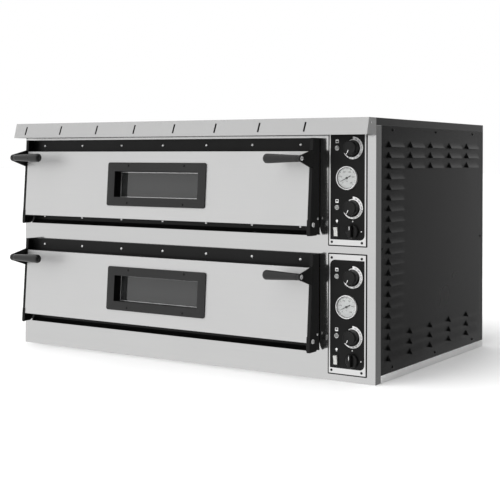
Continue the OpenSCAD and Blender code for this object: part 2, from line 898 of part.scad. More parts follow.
// Black frame of the door: cheeks, front flanges, screw bands and shelves.
module door_shell(deck) {
    x1 = door_x + door_w;
    s = door_sheet;
    span = 2 * door_mid_x - inner_x;
    color([0.13, 0.13, 0.13]) on_deck(deck) difference() {
        union() {
            both_door_ends() {
                door_outline(door_x, door_x + s);
                front_strip(door_x + s - lap, door_x + flange_w, 0, door_h, s);
                side_profile(
                    [
                        [front_y(4) - 1, 4], [front_y(4), 4],
                        [front_y(39), 39], [front_y(39) - 1, 39]
                    ],
                    door_x, door_x + flange_w + 1
                );
            }
            // upper band, its top lip and the shelf over the skin
            block([door_x + s - lap, band_y, skin_z1 - s], [x1 - s + lap, band_y + s, door_h]);
            block([door_x + s - lap, band_y + s - lap, door_h - s], [x1 - s + lap, rear_y, door_h]);
            side_profile(
                [
                    [front_y(skin_z1) + shelf_gap, skin_z1 - s], [band_y + s, skin_z1 - s],
                    [band_y + s, skin_z1], [front_y(skin_z1) + shelf_gap, skin_z1]
                ],
                door_x + s - lap, x1 - s + lap
            );
            // lower band, rolled forward under the heel, and the shelf under the skin
            difference() {
                union() {
                    block([inner_x, band_y, 0], [span, band_y + s, skin_z0]);
                    difference() {
                        block([inner_x, pivot_y + 12, 0], [span, band_y + s, pivot_rise - 12]);
                        x_bar(inner_x - 1, span + 1, pivot_y, pivot_rise, heel_r - s);
                    }
                    side_profile(
                        [
                            [front_y(skin_z0) + shelf_gap, skin_z0], [band_y + s, skin_z0],
                            [band_y + s, skin_z0 + s], [front_y(skin_z0) + shelf_gap, skin_z0 + s]
                        ],
                        inner_x, span
                    );
                }
                heel_waste(inner_x - 1, span + 1);
            }
        }
        both_door_ends() {
            x_bar(door_x - 1, door_x + s + 1, pivot_y, pivot_rise, bolt_r + running);
            x_bar(door_x - 1, door_x + s + 1, -10.9, 41, 1.5);
        }
        band_screw_spots() cylinder(h = 4, r = 1.5, center = true);
    }
}

// The places of the screws in both bands, pointing out of the front.
module band_screw_spots() {
    for (i = [-3:3], z = [223.5, 20.1])
        facing_front(door_mid_x + i * screw_pitch, z, band_y) children();
}

// The middle of the window, in a frame that leans with the door's front: Y is inward.
module at_window() {
    translate([door_mid_x, front_y(window_rise), window_rise]) rotate([-door_tilt, 0, 0]) children();
}

// A centred upright block in the window's frame, from depth y0 to y1.
module window_block(w, h, y0, y1) {
    translate([-w / 2, y0, -h / 2]) cube([w, y1 - y0, h]);
}

// Sloping stainless front of the door.
module door_skin(deck) {
    color("gainsboro") on_deck(deck) difference() {
        front_strip(door_x + flange_w, door_x + door_w - flange_w, skin_z0 + 0.2, skin_z1 - 0.2, 1.2);
        at_window() window_block(window_w + 6, window_h + 6, -5, 10);
        at_window() bezel_screw_spots() cylinder(h = 12, r = bezel_shank_r, center = true);
    }
}

liner_z0 = 27.5;
liner_x = inner_x + 1;

// Inner sheet that closes the chamber's mouth.
module door_liner(deck) {
    color("lightsteelblue") on_deck(deck) difference() {
        block([liner_x, rear_y - 1.2, liner_z0], [2 * door_mid_x - liner_x, rear_y, door_h - door_sheet]);
        translate([door_mid_x, rear_y, window_rise]) window_block(window_w, window_h, -5, 5);
    }
}

// Mineral wool between the skin and the liner.
module door_insulation(deck) {
    z0 = liner_z0;
    z1 = skin_z1 - door_sheet - 0.3;
    color("khaki") on_deck(deck) difference() {
        side_profile(
            [
                [front_y(z0) + 1.5, z0], [rear_y - 1.4, z0],
                [rear_y - 1.4, z1], [front_y(z1) + 1.5, z1]
            ],
            liner_x, 2 * door_mid_x - liner_x
        );
        at_window() window_block(window_w + 2 * (pane_lap + wool_gap), window_h + 2 * (pane_lap + wool_gap), -60, 60);
    }
}

bezel_t = 3;
bezel_screw_x = 94;
bezel_screw_z = 51;
bezel_shank_r = 1.25;

// Window bezel with rounded corners and the duct that leads in to the glass.
module window_bezel(deck) {
    r = 6;
    color([0.22, 0.22, 0.22]) on_deck(deck) at_window() difference() {
        union() {
            rotate([90, 0, 0]) linear_extrude(bezel_t) union() {
                square([bezel_w - 2 * r, bezel_h], center = true);
                square([bezel_w, bezel_h - 2 * r], center = true);
                for (x = [-1, 1], z = [-1, 1])
                    translate([x * (bezel_w / 2 - r), z * (bezel_h / 2 - r)]) circle(r = r);
            }
            window_block(window_w + 4, window_h + 4, -eps, duct_depth);
        }
        window_block(window_w, window_h, -5, duct_depth + 5);
        bezel_screw_spots() cylinder(h = 8, r = bezel_shank_r, center = true);
    }
}

// The places of the bezel's screws, in the window's frame.
module bezel_screw_spots() {
    for (x = [-bezel_screw_x, bezel_screw_x], z = [-bezel_screw_z, bezel_screw_z])
        translate([x, -bezel_t, z]) rotate([90, 0, 0]) children();
}

// Outer and inner panes of the window.
module window_glass(deck) {
    w = window_w + 2 * pane_lap;
    h = window_h + 2 * pane_lap;
    color([0.3, 0.33, 0.33, 0.5]) on_deck(deck) {
        at_window() window_block(w, h, duct_depth, duct_depth + pane_t);
        translate([door_mid_x, rear_y - 1.2 - pane_t, window_rise]) window_block(w, h, 0, pane_t);
    }
}

// Triangular plates, welded to the ends of the door's front, that carry the grips.
module handle_plates(deck) {
    color([0.1, 0.1, 0.1]) on_deck(deck) both_door_ends() difference() {
        union() {
            side_profile(
                [
                    [front_y(211), 211], [front_y(164), 164],
                    [-grip_reach - 2, grip_z - 8.6], [-grip_reach - 2, grip_z + 8.6]
                ],
                door_x, door_x + plate_t
            );
            x_bar(door_x, door_x + plate_t, -grip_reach, grip_z, 8.8);
        }
        x_bar(door_x - 1, door_x + plate_t + 1, -grip_reach, grip_z, 3);
    }
}

// Moulded grips, thicker towards their free ends.
module handle_grips(deck) {
    r0 = 8.4;
    r1 = grip_dia / 2;
    bend = 7;
    color([0.12, 0.12, 0.12]) on_deck(deck) both_door_ends()
        translate([door_x + plate_t, -grip_reach, grip_z]) rotate([0, 90, 0]) rotate_extrude()
            polygon(concat(
                [[0, 0], [r0 - 1, 0], [r0, 2], [r0 + 0.3, 12]],
                [for (a = [0:15:90]) [r1 - bend + bend * cos(a), grip_len - bend + bend * sin(a)]],
                [[0, grip_len]]
            ));
}

// Screws of a door: bands, bezel, cheeks and grips.
module door_screws(deck) {
    color("white") on_deck(deck) {
        band_screw_spots() screw(3.7, 2.2, 1.5, 4);
        at_window() bezel_screw_spots() screw(2.8, 1.8, bezel_shank_r, 4);
        both_door_ends() {
            translate([door_x, -10.9, 41]) rotate([0, -90, 0]) screw(3, 1.8, 1.5, 1.5);
            translate([door_x, -grip_reach, grip_z]) rotate([0, -90, 0]) screw(6, 3, 3, plate_t);
        }
    }
}

module upper_door_shell() { door_shell(1); }
module upper_door_skin() { door_skin(1); }
module upper_door_liner() { door_liner(1); }
module upper_door_insulation() { door_insulation(1); }
module upper_window_bezel() { window_bezel(1); }
module upper_window_glass() { window_glass(1); }
module upper_handle_plates() { handle_plates(1); }
module upper_handle_grips() { handle_grips(1); }
module upper_door_screws() { door_screws(1); }
module lower_door_shell() { door_shell(0); }
module lower_door_skin() { door_skin(0); }
module lower_door_liner() { door_liner(0); }
module lower_door_insulation() { door_insulation(0); }
module lower_window_bezel() { window_bezel(0); }
module lower_window_glass() { window_glass(0); }
module lower_handle_plates() { handle_plates(0); }
module lower_handle_grips() { handle_grips(0); }
module lower_door_screws() { door_screws(0); }

base_tray();
front_frame();
left_side_panel();
right_side_panel();
back_panel();
top_cover();
hood();
casing_screws();
upper_chamber();
lower_chamber();
chamber_insulation();
deck_supports();
hearth_stones();
stone_racks();
heating_elements();
oven_lamps();
lamp_glasses();
sensor_probes();
control_bay_wall();
upper_control_panel();
lower_control_panel();
panel_screws();
gauge_cases();
gauge_glasses();
thermostat_bodies();
selector_switch_bodies();
light_switch_housings();
pilot_lamps();
contactors();
cable_gland();
hinge_arms();
hinge_bolts();
upper_gauge_needle();
lower_gauge_needle();
upper_top_heat_knob();
upper_floor_heat_knob();
lower_top_heat_knob();
lower_floor_heat_knob();
upper_selector_knob();
lower_selector_knob();
upper_light_rocker();
lower_light_rocker();
upper_door_shell();
upper_door_skin();
upper_door_liner();
upper_door_insulation();
upper_window_bezel();
upper_window_glass();
upper_handle_plates();
upper_handle_grips();
upper_door_screws();
lower_door_shell();
lower_door_skin();
lower_door_liner();
lower_door_insulation();
lower_window_bezel();
lower_window_glass();
lower_handle_plates();
lower_handle_grips();
lower_door_screws();
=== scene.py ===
import json
import math

import bmesh
import bpy
from mathutils import Euler, Matrix, Vector

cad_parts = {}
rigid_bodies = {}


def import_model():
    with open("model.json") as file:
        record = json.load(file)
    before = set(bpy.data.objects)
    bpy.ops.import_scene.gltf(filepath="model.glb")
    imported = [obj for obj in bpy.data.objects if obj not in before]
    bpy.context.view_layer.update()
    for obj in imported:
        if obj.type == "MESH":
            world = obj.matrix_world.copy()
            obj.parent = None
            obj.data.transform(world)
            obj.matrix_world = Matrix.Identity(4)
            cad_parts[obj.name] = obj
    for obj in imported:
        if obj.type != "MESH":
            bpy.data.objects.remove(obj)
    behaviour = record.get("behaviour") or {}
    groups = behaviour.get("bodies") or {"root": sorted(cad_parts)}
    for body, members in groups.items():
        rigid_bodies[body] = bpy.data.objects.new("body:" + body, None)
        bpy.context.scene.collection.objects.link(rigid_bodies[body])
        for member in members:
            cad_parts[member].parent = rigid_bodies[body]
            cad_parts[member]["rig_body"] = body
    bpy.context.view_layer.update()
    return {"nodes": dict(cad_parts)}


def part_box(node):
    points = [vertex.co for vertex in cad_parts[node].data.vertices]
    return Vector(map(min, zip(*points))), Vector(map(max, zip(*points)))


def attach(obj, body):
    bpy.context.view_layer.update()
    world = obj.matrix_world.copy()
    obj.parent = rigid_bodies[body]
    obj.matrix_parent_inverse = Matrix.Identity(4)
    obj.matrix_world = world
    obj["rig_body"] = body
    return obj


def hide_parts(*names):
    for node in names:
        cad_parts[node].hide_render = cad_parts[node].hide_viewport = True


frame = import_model()

# ---------------------------------------------------------------- places

MM = 0.001
NODES = frame["nodes"]
DECKS = ("upper", "lower")
# Lower front left corner of the casing, which the oven is measured from.
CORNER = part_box("front_frame")[0]


def at(x, y, z):
    """A point given in millimetres from the casing's lower front left corner."""
    return CORNER + Vector((x, y, z)) * MM


def middle(node):
    """The centre of a CAD node's box."""
    low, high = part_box(node)
    return (low + high) / 2


def islands(node):
    """The separate solids of a CAD node, each as (lowest corner, highest corner)."""
    mesh = NODES[node].data
    bm = bmesh.new()
    bm.from_mesh(mesh)
    bmesh.ops.remove_doubles(bm, verts=bm.verts, dist=0.01 * MM)
    seen, found = set(), []
    for start in bm.verts:
        if start in seen:
            continue
        stack, group = [start], []
        seen.add(start)
        while stack:
            vert = stack.pop()
            group.append(vert.co.copy())
            for edge in vert.link_edges:
                other = edge.other_vert(vert)
                if other not in seen:
                    seen.add(other)
                    stack.append(other)
        low = Vector(min(p[i] for p in group) for i in range(3))
        high = Vector(max(p[i] for p in group) for i in range(3))
        found.append((low, high))
    bm.free()
    return found


# ---------------------------------------------------------------- camera

LENS = 80.2
SENSOR_WIDTH = 36
CAMERA_PLACE = (2350, -2399, 540)
CAMERA_YAW = 33.04
CAMERA_ROLL = -0.19
LENS_SHIFT = -0.1808

camera_data = bpy.data.cameras.new("camera")
camera_data.lens = LENS
camera_data.sensor_width = SENSOR_WIDTH
camera_data.shift_y = LENS_SHIFT
camera_data.clip_end = 100
camera = bpy.data.objects.new("camera", camera_data)
camera.location = at(*CAMERA_PLACE)
camera.rotation_euler = Euler((math.pi / 2, math.radians(CAMERA_ROLL), math.radians(CAMERA_YAW)))
bpy.context.scene.collection.objects.link(camera)
bpy.context.scene.camera = camera

# ---------------------------------------------------------------- materials


class Shader:
    """A node material with helpers for the few nodes that the finishes here are made of."""

    def __init__(self, name, colour, roughness, metallic=0.0, **sockets):
        self.material = bpy.data.materials.new(name)
        self.material.use_nodes = True
        self.tree = self.material.node_tree
        self.bsdf = self.tree.nodes["Principled BSDF"]
        self.bsdf.inputs["Base Color"].default_value = (*colour, 1)
        self.bsdf.inputs["Roughness"].default_value = roughness
        self.bsdf.inputs["Metallic"].default_value = metallic
        for key, value in sockets.items():
            self.bsdf.inputs[key.replace("_", " ")].default_value = value
        self.material.diffuse_color = (*colour, 1)
        self.coords = self.node("ShaderNodeTexCoord").outputs["Object"]

    def node(self, kind, **settings):
        made = self.tree.nodes.new(kind)
        for key, value in settings.items():
            setattr(made, key, value)
        return made

    def link(self, source, target):
        self.tree.links.new(source, target)

    def texture(self, kind, scale, stretch=(1, 1, 1)):
        mapping = self.node("ShaderNodeMapping")
        mapping.inputs["Scale"].default_value = stretch
        self.link(self.coords, mapping.inputs["Vector"])
        texture = self.node(kind)
        texture.inputs["Scale"].default_value = scale
        self.link(mapping.outputs["Vector"], texture.inputs["Vector"])
        return texture

    def noise(self, scale, detail=3.0, stretch=(1, 1, 1), roughness=0.5):
        texture = self.texture("ShaderNodeTexNoise", scale, stretch)
        texture.inputs["Detail"].default_value = detail
        texture.inputs["Roughness"].default_value = roughness
        return texture.outputs["Fac"]

    def cells(self, scale):
        return self.texture("ShaderNodeTexVoronoi", scale).outputs["Distance"]

    def spread(self, source, low, high, start=0.3, end=0.7):
        """Maps a texture's middle range to a range of values."""
        spread = self.node("ShaderNodeMapRange")
        for key, value in (("From Min", start), ("From Max", end), ("To Min", low), ("To Max", high)):
            spread.inputs[key].default_value = value
        self.link(source, spread.inputs["Value"])
        return spread.outputs["Result"]

    def mix(self, fac, first, second):
        """Mixes two colours, each a tuple or another mix's output."""
        mix = self.node("ShaderNodeMix", data_type="RGBA")
        self.link(fac, mix.inputs["Factor"])
        for socket, colour in ((mix.inputs["A"], first), (mix.inputs["B"], second)):
            if isinstance(colour, tuple):
                socket.default_value = (*colour, 1)
            else:
                self.link(colour, socket)
        return mix.outputs["Result"]

    def colour(self, output):
        self.link(output, self.bsdf.inputs["Base Color"])

    def rough(self, output):
        self.link(output, self.bsdf.inputs["Roughness"])

    def bump(self, *layers):
        """Adds height layers, each (texture, strength, distance in millimetres)."""
        last = None
        for source, strength, distance in layers:
            bump = self.node("ShaderNodeBump")
            bump.inputs["Strength"].default_value = strength
            bump.inputs["Distance"].default_value = distance * MM
            self.link(source, bump.inputs["Height"])
            if last:
                self.link(last, bump.inputs["Normal"])
            last = bump.outputs["Normal"]
        self.link(last, self.bsdf.inputs["Normal"])


def tone(value, tint=(1.0, 1.0, 1.0)):
    return tuple(value * t for t in tint)


def brushed_steel(name, value, roughness, along="X", metallic=1.0, brush=0.05):
    """Stainless sheet with a fine brushed grain, faint clouding and wiped patches."""
    grain = {"X": (4, 700, 700), "Y": (700, 4, 700), "Z": (700, 700, 4)}[along]
    steel = Shader(name, tone(value), roughness, metallic)
    streaks = steel.noise(1.0, 4, grain, 0.6)
    clouds = steel.noise(5.0, 3, (1, 1, 1))
    base = steel.mix(steel.spread(streaks, 0, 1), tone(value * 0.975), tone(value * 1.02, (1, 1, 0.995)))
    steel.colour(steel.mix(steel.spread(clouds, 0, 0.25), base, tone(value * 0.93)))
    steel.rough(steel.spread(streaks, roughness - 0.05, roughness + 0.06))
    steel.bump((clouds, 0.02, 1.0), (streaks, brush, 0.04))
    return steel.material


def powder_coat(name, value, roughness, shine=0.5, grain=1.0, tint=(1.0, 1.0, 1.0)):
    """Textured paint: small pits and grains over a slow change of tone."""
    paint = Shader(name, tone(value, tint), roughness, Specular_IOR_Level=shine)
    pits = paint.cells(900 / grain)
    fine = paint.noise(1400 / grain, 2)
    clouds = paint.noise(3.5, 4)
    base = paint.mix(paint.spread(fine, 0, 1), tone(value * 0.8, tint), tone(value * 1.25, tint))
    paint.colour(paint.mix(paint.spread(clouds, 0, 0.35), base, tone(value * 1.35, tint)))
    paint.rough(paint.spread(clouds, roughness - 0.015, roughness + 0.015))
    paint.bump((pits, 0.10, 0.10 * grain), (fine, 0.08, 0.06 * grain))
    return paint.material


def satin_enamel(name, value, roughness, shine=0.5, tint=(1.0, 1.0, 1.0)):
    """Smooth stoved paint with a slight orange peel and fine scuffs."""
    paint = Shader(name, tone(value, tint), roughness, Specular_IOR_Level=shine)
    peel = paint.noise(260, 2)
    scuffs = paint.noise(1.0, 5, (30, 400, 60), 0.7)
    clouds = paint.noise(6, 3)
    base = paint.mix(paint.spread(clouds, 0, 1), tone(value * 0.85, tint), tone(value * 1.2, tint))
    paint.colour(paint.mix(paint.spread(scuffs, 0, 0.3, 0.55, 0.8), base, tone(value * 1.9, tint)))
    paint.rough(paint.spread(scuffs, roughness - 0.04, roughness + 0.08))
    paint.bump((peel, 0.05, 0.1), (scuffs, 0.03, 0.05))
    return paint.material


def moulded_plastic(name, colour, roughness, shine=0.5):
    """Moulded plastic with a spark-eroded grain and a few wiped, glossier patches."""
    plastic = Shader(name, colour, roughness, Specular_IOR_Level=shine)
    grain = plastic.noise(1900, 3)
    wiped = plastic.noise(45, 4)
    dark, light = (tuple(c * share for c in colour) for share in (0.85, 1.15))
    plastic.colour(plastic.mix(plastic.spread(grain, 0, 1), dark, light))
    plastic.rough(plastic.spread(wiped, roughness - 0.07, roughness + 0.08))
    plastic.bump((grain, 0.10, 0.06), (wiped, 0.03, 0.2))
    return plastic.material


def polished(name, colour, roughness, metallic=1.0):
    """Bright metal with faint turning marks."""
    metal = Shader(name, colour, roughness, metallic)
    marks = metal.noise(2200, 2)
    haze = metal.noise(120, 3)
    metal.colour(metal.mix(metal.spread(haze, 0, 1), tuple(c * 0.9 for c in colour), colour))
    metal.rough(metal.spread(haze, roughness, roughness + 0.12))
    metal.bump((marks, 0.04, 0.05))
    return metal.material


def aluminised(name, value):
    """Aluminised sheet: matt, with a fine spangle and heat-darkened clouds."""
    sheet = Shader(name, tone(value), 0.42, metallic=0.9)
    spangle = sheet.cells(240)
    heat = sheet.noise(7, 5, roughness=0.6)
    base = sheet.mix(sheet.spread(spangle, 0, 1, 0.1, 0.8), tone(value * 0.9), tone(value * 1.08))
    sheet.colour(sheet.mix(sheet.spread(heat, 0, 0.6), base, tone(value * 0.62, (1.0, 0.93, 0.84))))
    sheet.rough(sheet.spread(heat, 0.36, 0.5))
    sheet.bump((spangle, 0.05, 0.1))
    return sheet.material


def fire_stone(name):
    """Refractory slab: warm sandy body, dark grit, small pores and flour-toasted clouds."""
    stone = Shader(name, (0.62, 0.53, 0.40), 0.92)
    grit = stone.cells(420)
    pores = stone.noise(520, 4, roughness=0.7)
    toast = stone.noise(9, 5, roughness=0.6)
    base = stone.mix(stone.spread(grit, 0, 1, 0.05, 0.35), (0.36, 0.29, 0.21), (0.66, 0.57, 0.44))
    stone.colour(stone.mix(stone.spread(toast, 0, 0.55), base, (0.40, 0.31, 0.22)))
    stone.rough(stone.spread(pores, 0.82, 0.98))
    stone.bump((pores, 0.5, 0.4), (grit, 0.3, 0.3))
    return stone.material


def fibre_wool(name):
    """Mineral wool: matted yellow-green fibres."""
    wool = Shader(name, (0.55, 0.50, 0.28), 0.95, Sheen_Weight=0.4)
    fibres = wool.noise(1.0, 5, (160, 900, 420), 0.7)
    lumps = wool.noise(60, 4)
    wool.colour(wool.mix(wool.spread(fibres, 0, 1), (0.42, 0.37, 0.18), (0.68, 0.62, 0.38)))
    wool.bump((lumps, 0.6, 2.0), (fibres, 0.6, 0.6))
    return wool.material


def oxidised_tube(name):
    """Element tube, blued and browned by heat."""
    tube = Shader(name, (0.16, 0.13, 0.12), 0.5, metallic=0.8)
    scale = tube.noise(90, 5, roughness=0.7)
    bands = tube.noise(1.0, 3, (14, 200, 200))
    base = tube.mix(tube.spread(scale, 0, 1), (0.09, 0.075, 0.07), (0.24, 0.20, 0.18))
    tube.colour(tube.mix(tube.spread(bands, 0, 0.5), base, (0.13, 0.13, 0.17)))
    tube.rough(tube.spread(scale, 0.4, 0.62))
    tube.bump((scale, 0.25, 0.15))
    return tube.material


def clear_glass(name, colour, roughness, haze, transmission=1.0, ior=1.5):
    """Glass with a faint wiped haze on its surface."""
    glass = Shader(name, colour, roughness, Transmission_Weight=transmission, IOR=ior)
    wiped = glass.noise(14, 5, (1, 1, 2.5), 0.65)
    glass.colour(glass.mix(glass.spread(wiped, 0, 0.5), colour, tuple(c * 0.85 for c in colour)))
    glass.rough(glass.spread(wiped, roughness, roughness + haze))
    glass.bump((wiped, 0.01, 0.2))
    return glass.material


def print_ink(name, colour):
    """Screen-printed ink with slight breaks in its coverage."""
    ink = Shader(name, colour, 0.5)
    speck = ink.noise(1500, 3)
    ink.colour(ink.mix(ink.spread(speck, 0, 1), tuple(c * 0.9 for c in colour), colour))
    ink.rough(ink.spread(speck, 0.42, 0.6))
    ink.bump((speck, 0.05, 0.03))
    return ink.material


def glazed(name, colour):
    """Fired ceramic with a thin glaze."""
    glaze = Shader(name, colour, 0.3, Coat_Weight=0.4)
    flecks = glaze.noise(300, 4)
    glaze.colour(glaze.mix(glaze.spread(flecks, 0, 1, 0.5, 0.8), colour, tuple(c * 0.86 for c in colour)))
    glaze.rough(glaze.spread(flecks, 0.22, 0.4))
    glaze.bump((flecks, 0.1, 0.2))
    return glaze.material


FRONT_STEEL = brushed_steel("front_steel", 0.595, 0.13, "X", 1.0, 0.003)
HOOD_STEEL = brushed_steel("hood_steel", 0.47, 0.48, "X", 0.65)
# Black finish for the hood's inner faces: painted shade, so the slots and the open bottom read dark.
HOOD_PAINTED_SHADE = powder_coat("hood_painted_shade", 0.012, 0.7, 0.2)
SKIN_STEEL = brushed_steel("skin_steel", 0.61, 0.44, "X", 0.85)
PANEL_STEEL = brushed_steel("panel_steel", 0.78, 0.34, "Z")
# Base strip: stainless, but given a near-white, non-metallic finish as a painted reflection of the pale
# floor.
BASE_STRIP_PAINTED_REFLECTION = brushed_steel("base_strip_painted_reflection", 0.95, 0.42, "Y", 0.0)
SIDE_PAINT = powder_coat("side_paint", 0.003, 0.26, 0.22)
COVER_PAINT = powder_coat("cover_paint", 0.006, 0.32, 0.6)
BACK_PAINT = powder_coat("back_paint", 0.010, 0.42, 0.4)
DOOR_PAINT = satin_enamel("door_paint", 0.005, 0.34, 0.2)
PLATE_PAINT = satin_enamel("plate_paint", 0.005, 0.36, 0.25)
BEZEL_PAINT = satin_enamel("bezel_paint", 0.012, 0.42, 0.35)
# Black paint of the window's tunnel, made darker than the bezel as painted shade in the recess.
TUNNEL_PAINT_AND_SHADE = satin_enamel("tunnel_paint_and_shade", 0.003, 0.5, 0.15)
FACE_PAINT = satin_enamel("face_paint", 0.004, 0.45, 0.2)
KNOB_PLASTIC = moulded_plastic("knob_plastic", (0.005, 0.005, 0.005), 0.34, 0.25)
GRIP_PLASTIC = moulded_plastic("grip_plastic", (0.010, 0.010, 0.010), 0.32, 0.45)
BLACK_NYLON = moulded_plastic("black_nylon", (0.008, 0.008, 0.008), 0.5, 0.3)
GREY_PLASTIC = moulded_plastic("grey_plastic", (0.55, 0.55, 0.52), 0.5)
WHITE_PLASTIC = moulded_plastic("white_plastic", (0.55, 0.55, 0.53), 0.3)
# Black for the rim around each control panel: painted shade of the gap at the panel's edge.
SHADOW_GAP_BLACK = moulded_plastic("shadow_gap_black", (0.004, 0.004, 0.004), 0.7, 0.15)
# Chrome: bright metal, with a share of diffuse white as a painted reflection, so parts facing the dark side
# still look bright.
POLISHED_METAL_AND_SHEEN = polished("polished_metal_and_sheen", (0.92, 0.92, 0.92), 0.16, 0.7)
DARK_SCREW = polished("dark_screw", (0.014, 0.014, 0.014), 0.3, 0.5)
ZINC = polished("zinc", (0.62, 0.62, 0.60), 0.32)
COPPER = polished("copper", (0.72, 0.42, 0.27), 0.3)
LINING = aluminised("oven_lining", 0.55)
STONE = fire_stone("hearth_stone")
WOOL = fibre_wool("mineral_wool")
TUBE = oxidised_tube("element_tube")
WINDOW_GLASS = clear_glass("window_glass", (0.06, 0.062, 0.062), 0.02, 0.04, 0.55, 1.7)
DIAL_GLASS = clear_glass("dial_glass", (0.97, 0.98, 0.98), 0.01, 0.03)
LAMP_GLASS = clear_glass("lamp_glass", (0.95, 0.95, 0.92), 0.04, 0.1)
LENS_GLASS = clear_glass("lens_glass", (0.75, 0.76, 0.76), 0.05, 0.1)
WHITE_INK = print_ink("white_ink", (0.80, 0.80, 0.80))
BLACK_INK = print_ink("black_ink", (0.012, 0.012, 0.012))
DIAL_WHITE = print_ink("dial_white", (0.90, 0.90, 0.89))
CERAMIC = glazed("lamp_ceramic", (0.82, 0.80, 0.74))

# ---------------------------------------------------------------- mesh helpers


def piece(name, bm, material, body, sharp=35, replaces=()):
    """Turns a bmesh in the row frame into a piece that rides on a body."""
    mesh = bpy.data.meshes.new(name)
    bmesh.ops.recalc_face_normals(bm, faces=bm.faces)
    bm.to_mesh(mesh)
    bm.free()
    mesh.shade_smooth()
    mesh.set_sharp_from_angle(angle=math.radians(sharp))
    return stand_for(name, mesh, material, body, replaces)


def carve(mesh, cutter):
    """The mesh with the closed shapes of a cutter taken out of it."""
    bmesh.ops.recalc_face_normals(cutter, faces=cutter.faces)
    cutter_mesh = bpy.data.meshes.new("cutter")
    cutter.to_mesh(cutter_mesh)
    cutter.free()
    tool = bpy.data.objects.new("cutter", cutter_mesh)
    bpy.context.scene.collection.objects.link(tool)
    result = with_modifier(mesh, "BOOLEAN", operation="DIFFERENCE", object=tool, solver="EXACT")
    bpy.data.objects.remove(tool)
    return result


def body_of(node):
    return NODES[node]["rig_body"]


def with_modifier(mesh, kind, **settings):
    """A copy of a mesh with one modifier applied."""
    holder = bpy.data.objects.new("holder", mesh)
    bpy.context.scene.collection.objects.link(holder)
    modifier = holder.modifiers.new(kind, kind)
    for key, value in settings.items():
        setattr(modifier, key, value)
    graph = bpy.context.evaluated_depsgraph_get()
    result = bpy.data.meshes.new_from_object(
        holder.evaluated_get(graph), preserve_all_data_layers=True, depsgraph=graph
    )
    bpy.data.objects.remove(holder)
    return result


def soften(node, width, material, segments=2, angle=28):
    """Stands for a CAD node with its own shape, its sharp edges rounded as folded or moulded ones are."""
    bm = bmesh.new()
    bm.from_mesh(NODES[node].data)
    bmesh.ops.remove_doubles(bm, verts=bm.verts, dist=0.005 * MM)
    mesh = bpy.data.meshes.new(node + "_sharp")
    bm.to_mesh(mesh)
    bm.free()
    mesh = with_modifier(
        mesh, "BEVEL", width=width * MM, segments=segments, limit_method="ANGLE",
        angle_limit=math.radians(angle), use_clamp_overlap=False, loop_slide=False,
    )
    mesh.shade_smooth()
    mesh.set_sharp_from_angle(angle=math.radians(12))
    return stand_for(node + "_look", mesh, material, body_of(node), (node,))


def stand_for(name, mesh, material, body, replaces):
    """Puts a finished mesh in the scene as a piece that rides on a body."""
    mesh.materials.clear()
    mesh.materials.append(material)
    made = bpy.data.objects.new(name, mesh)
    bpy.context.scene.collection.objects.link(made)
    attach(made, body)
    if replaces:
        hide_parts(*replaces)
    return made


def paint_faces(made, material, test):
    """Gives a second finish to the faces whose centre and normal pass a test."""
    made.data.materials.append(material)
    last = len(made.data.materials) - 1
    for face in made.data.polygons:
        if test(face.center, face.normal):
            face.material_index = last


def lathe(bm, profile, place, steps=48):
    """Turns a profile of (radius, height) points; place maps (u, v, out) to the row frame."""
    rings = []
    for radius, height in profile:
        if radius < 1e-6:
            rings.append([bm.verts.new(place(0, 0, height))])
            continue
        ring = []
        for i in range(steps):
            turn = 2 * math.pi * i / steps
            ring.append(bm.verts.new(place(radius * math.cos(turn), radius * math.sin(turn), height)))
        rings.append(ring)
    for low, high in zip(rings, rings[1:]):
        for i in range(steps):
            j = (i + 1) % steps
            if len(low) == 1 and len(high) == 1:
                continue
            if len(low) == 1:
                bm.faces.new((low[0], high[i], high[j]))
            elif len(high) == 1:
                bm.faces.new((low[i], low[j], high[0]))
            else:
                bm.faces.new((low[i], low[j], high[j], high[i]))


def prism(bm, outline, place, low, high):
    """Extrudes an outline of (u, v) points between two heights."""
    bottom = [bm.verts.new(place(u, v, low)) for u, v in outline]
    top = [bm.verts.new(place(u, v, high)) for u, v in outline]
    bm.faces.new(bottom)
    bm.faces.new(top)
    count = len(outline)
    for i in range(count):
        j = (i + 1) % count
        bm.faces.new((bottom[i], bottom[j], top[j], top[i]))


def ring_prism(bm, outer, inner, place, low, high):
    """Extrudes the band between two outlines with the same number of points."""
    count = len(outer)
    for i in range(count):
        j = (i + 1) % count
        corners = (outer[i], outer[j], inner[j], inner[i])
        bottom = [bm.verts.new(place(u, v, low)) for u, v in corners]
        top = [bm.verts.new(place(u, v, high)) for u, v in corners]
        bm.faces.new(top)
        bm.faces.new(bottom)
        bm.faces.new((bottom[0], bottom[1], top[1], top[0]))
        bm.faces.new((bottom[2], bottom[3], top[3], top[2]))
    bmesh.ops.remove_doubles(bm, verts=bm.verts, dist=0.002 * MM)


def rounded_rectangle(width, height, radii, steps=8):
    """Outline of a rectangle about its middle; radii run top right, top left, bottom left, bottom right."""
    points = []
    corners = ((1, 1, 0), (-1, 1, 90), (-1, -1, 180), (1, -1, 270))
    for (sx, sy, start), radius in zip(corners, radii):
        cx, cy = sx * (width / 2 - radius), sy * (height / 2 - radius)
        for i in range(steps + 1):
            turn = math.radians(start + 90 * i / steps)
            points.append((cx + radius * math.cos(turn), cy + radius * math.sin(turn)))
    return points


def front_place(x, z, y):
    """A place on the oven's front: u to the right, v up and out towards the user, in millimetres."""
    return lambda u, v, out: Vector((x, y, z)) + Vector((u, -out, v)) * MM


def aimed_place(origin, direction):
    """A place whose third axis points along a direction."""
    turn = Vector((0, 0, 1)).rotation_difference(direction.normalized()).to_matrix()
    return lambda u, v, out: origin + turn @ (Vector((u, v, out)) * MM)


def clock(turn, radius):
    """A point at a clock angle, in degrees clockwise from straight up."""
    return radius * math.sin(math.radians(turn)), radius * math.cos(math.radians(turn))


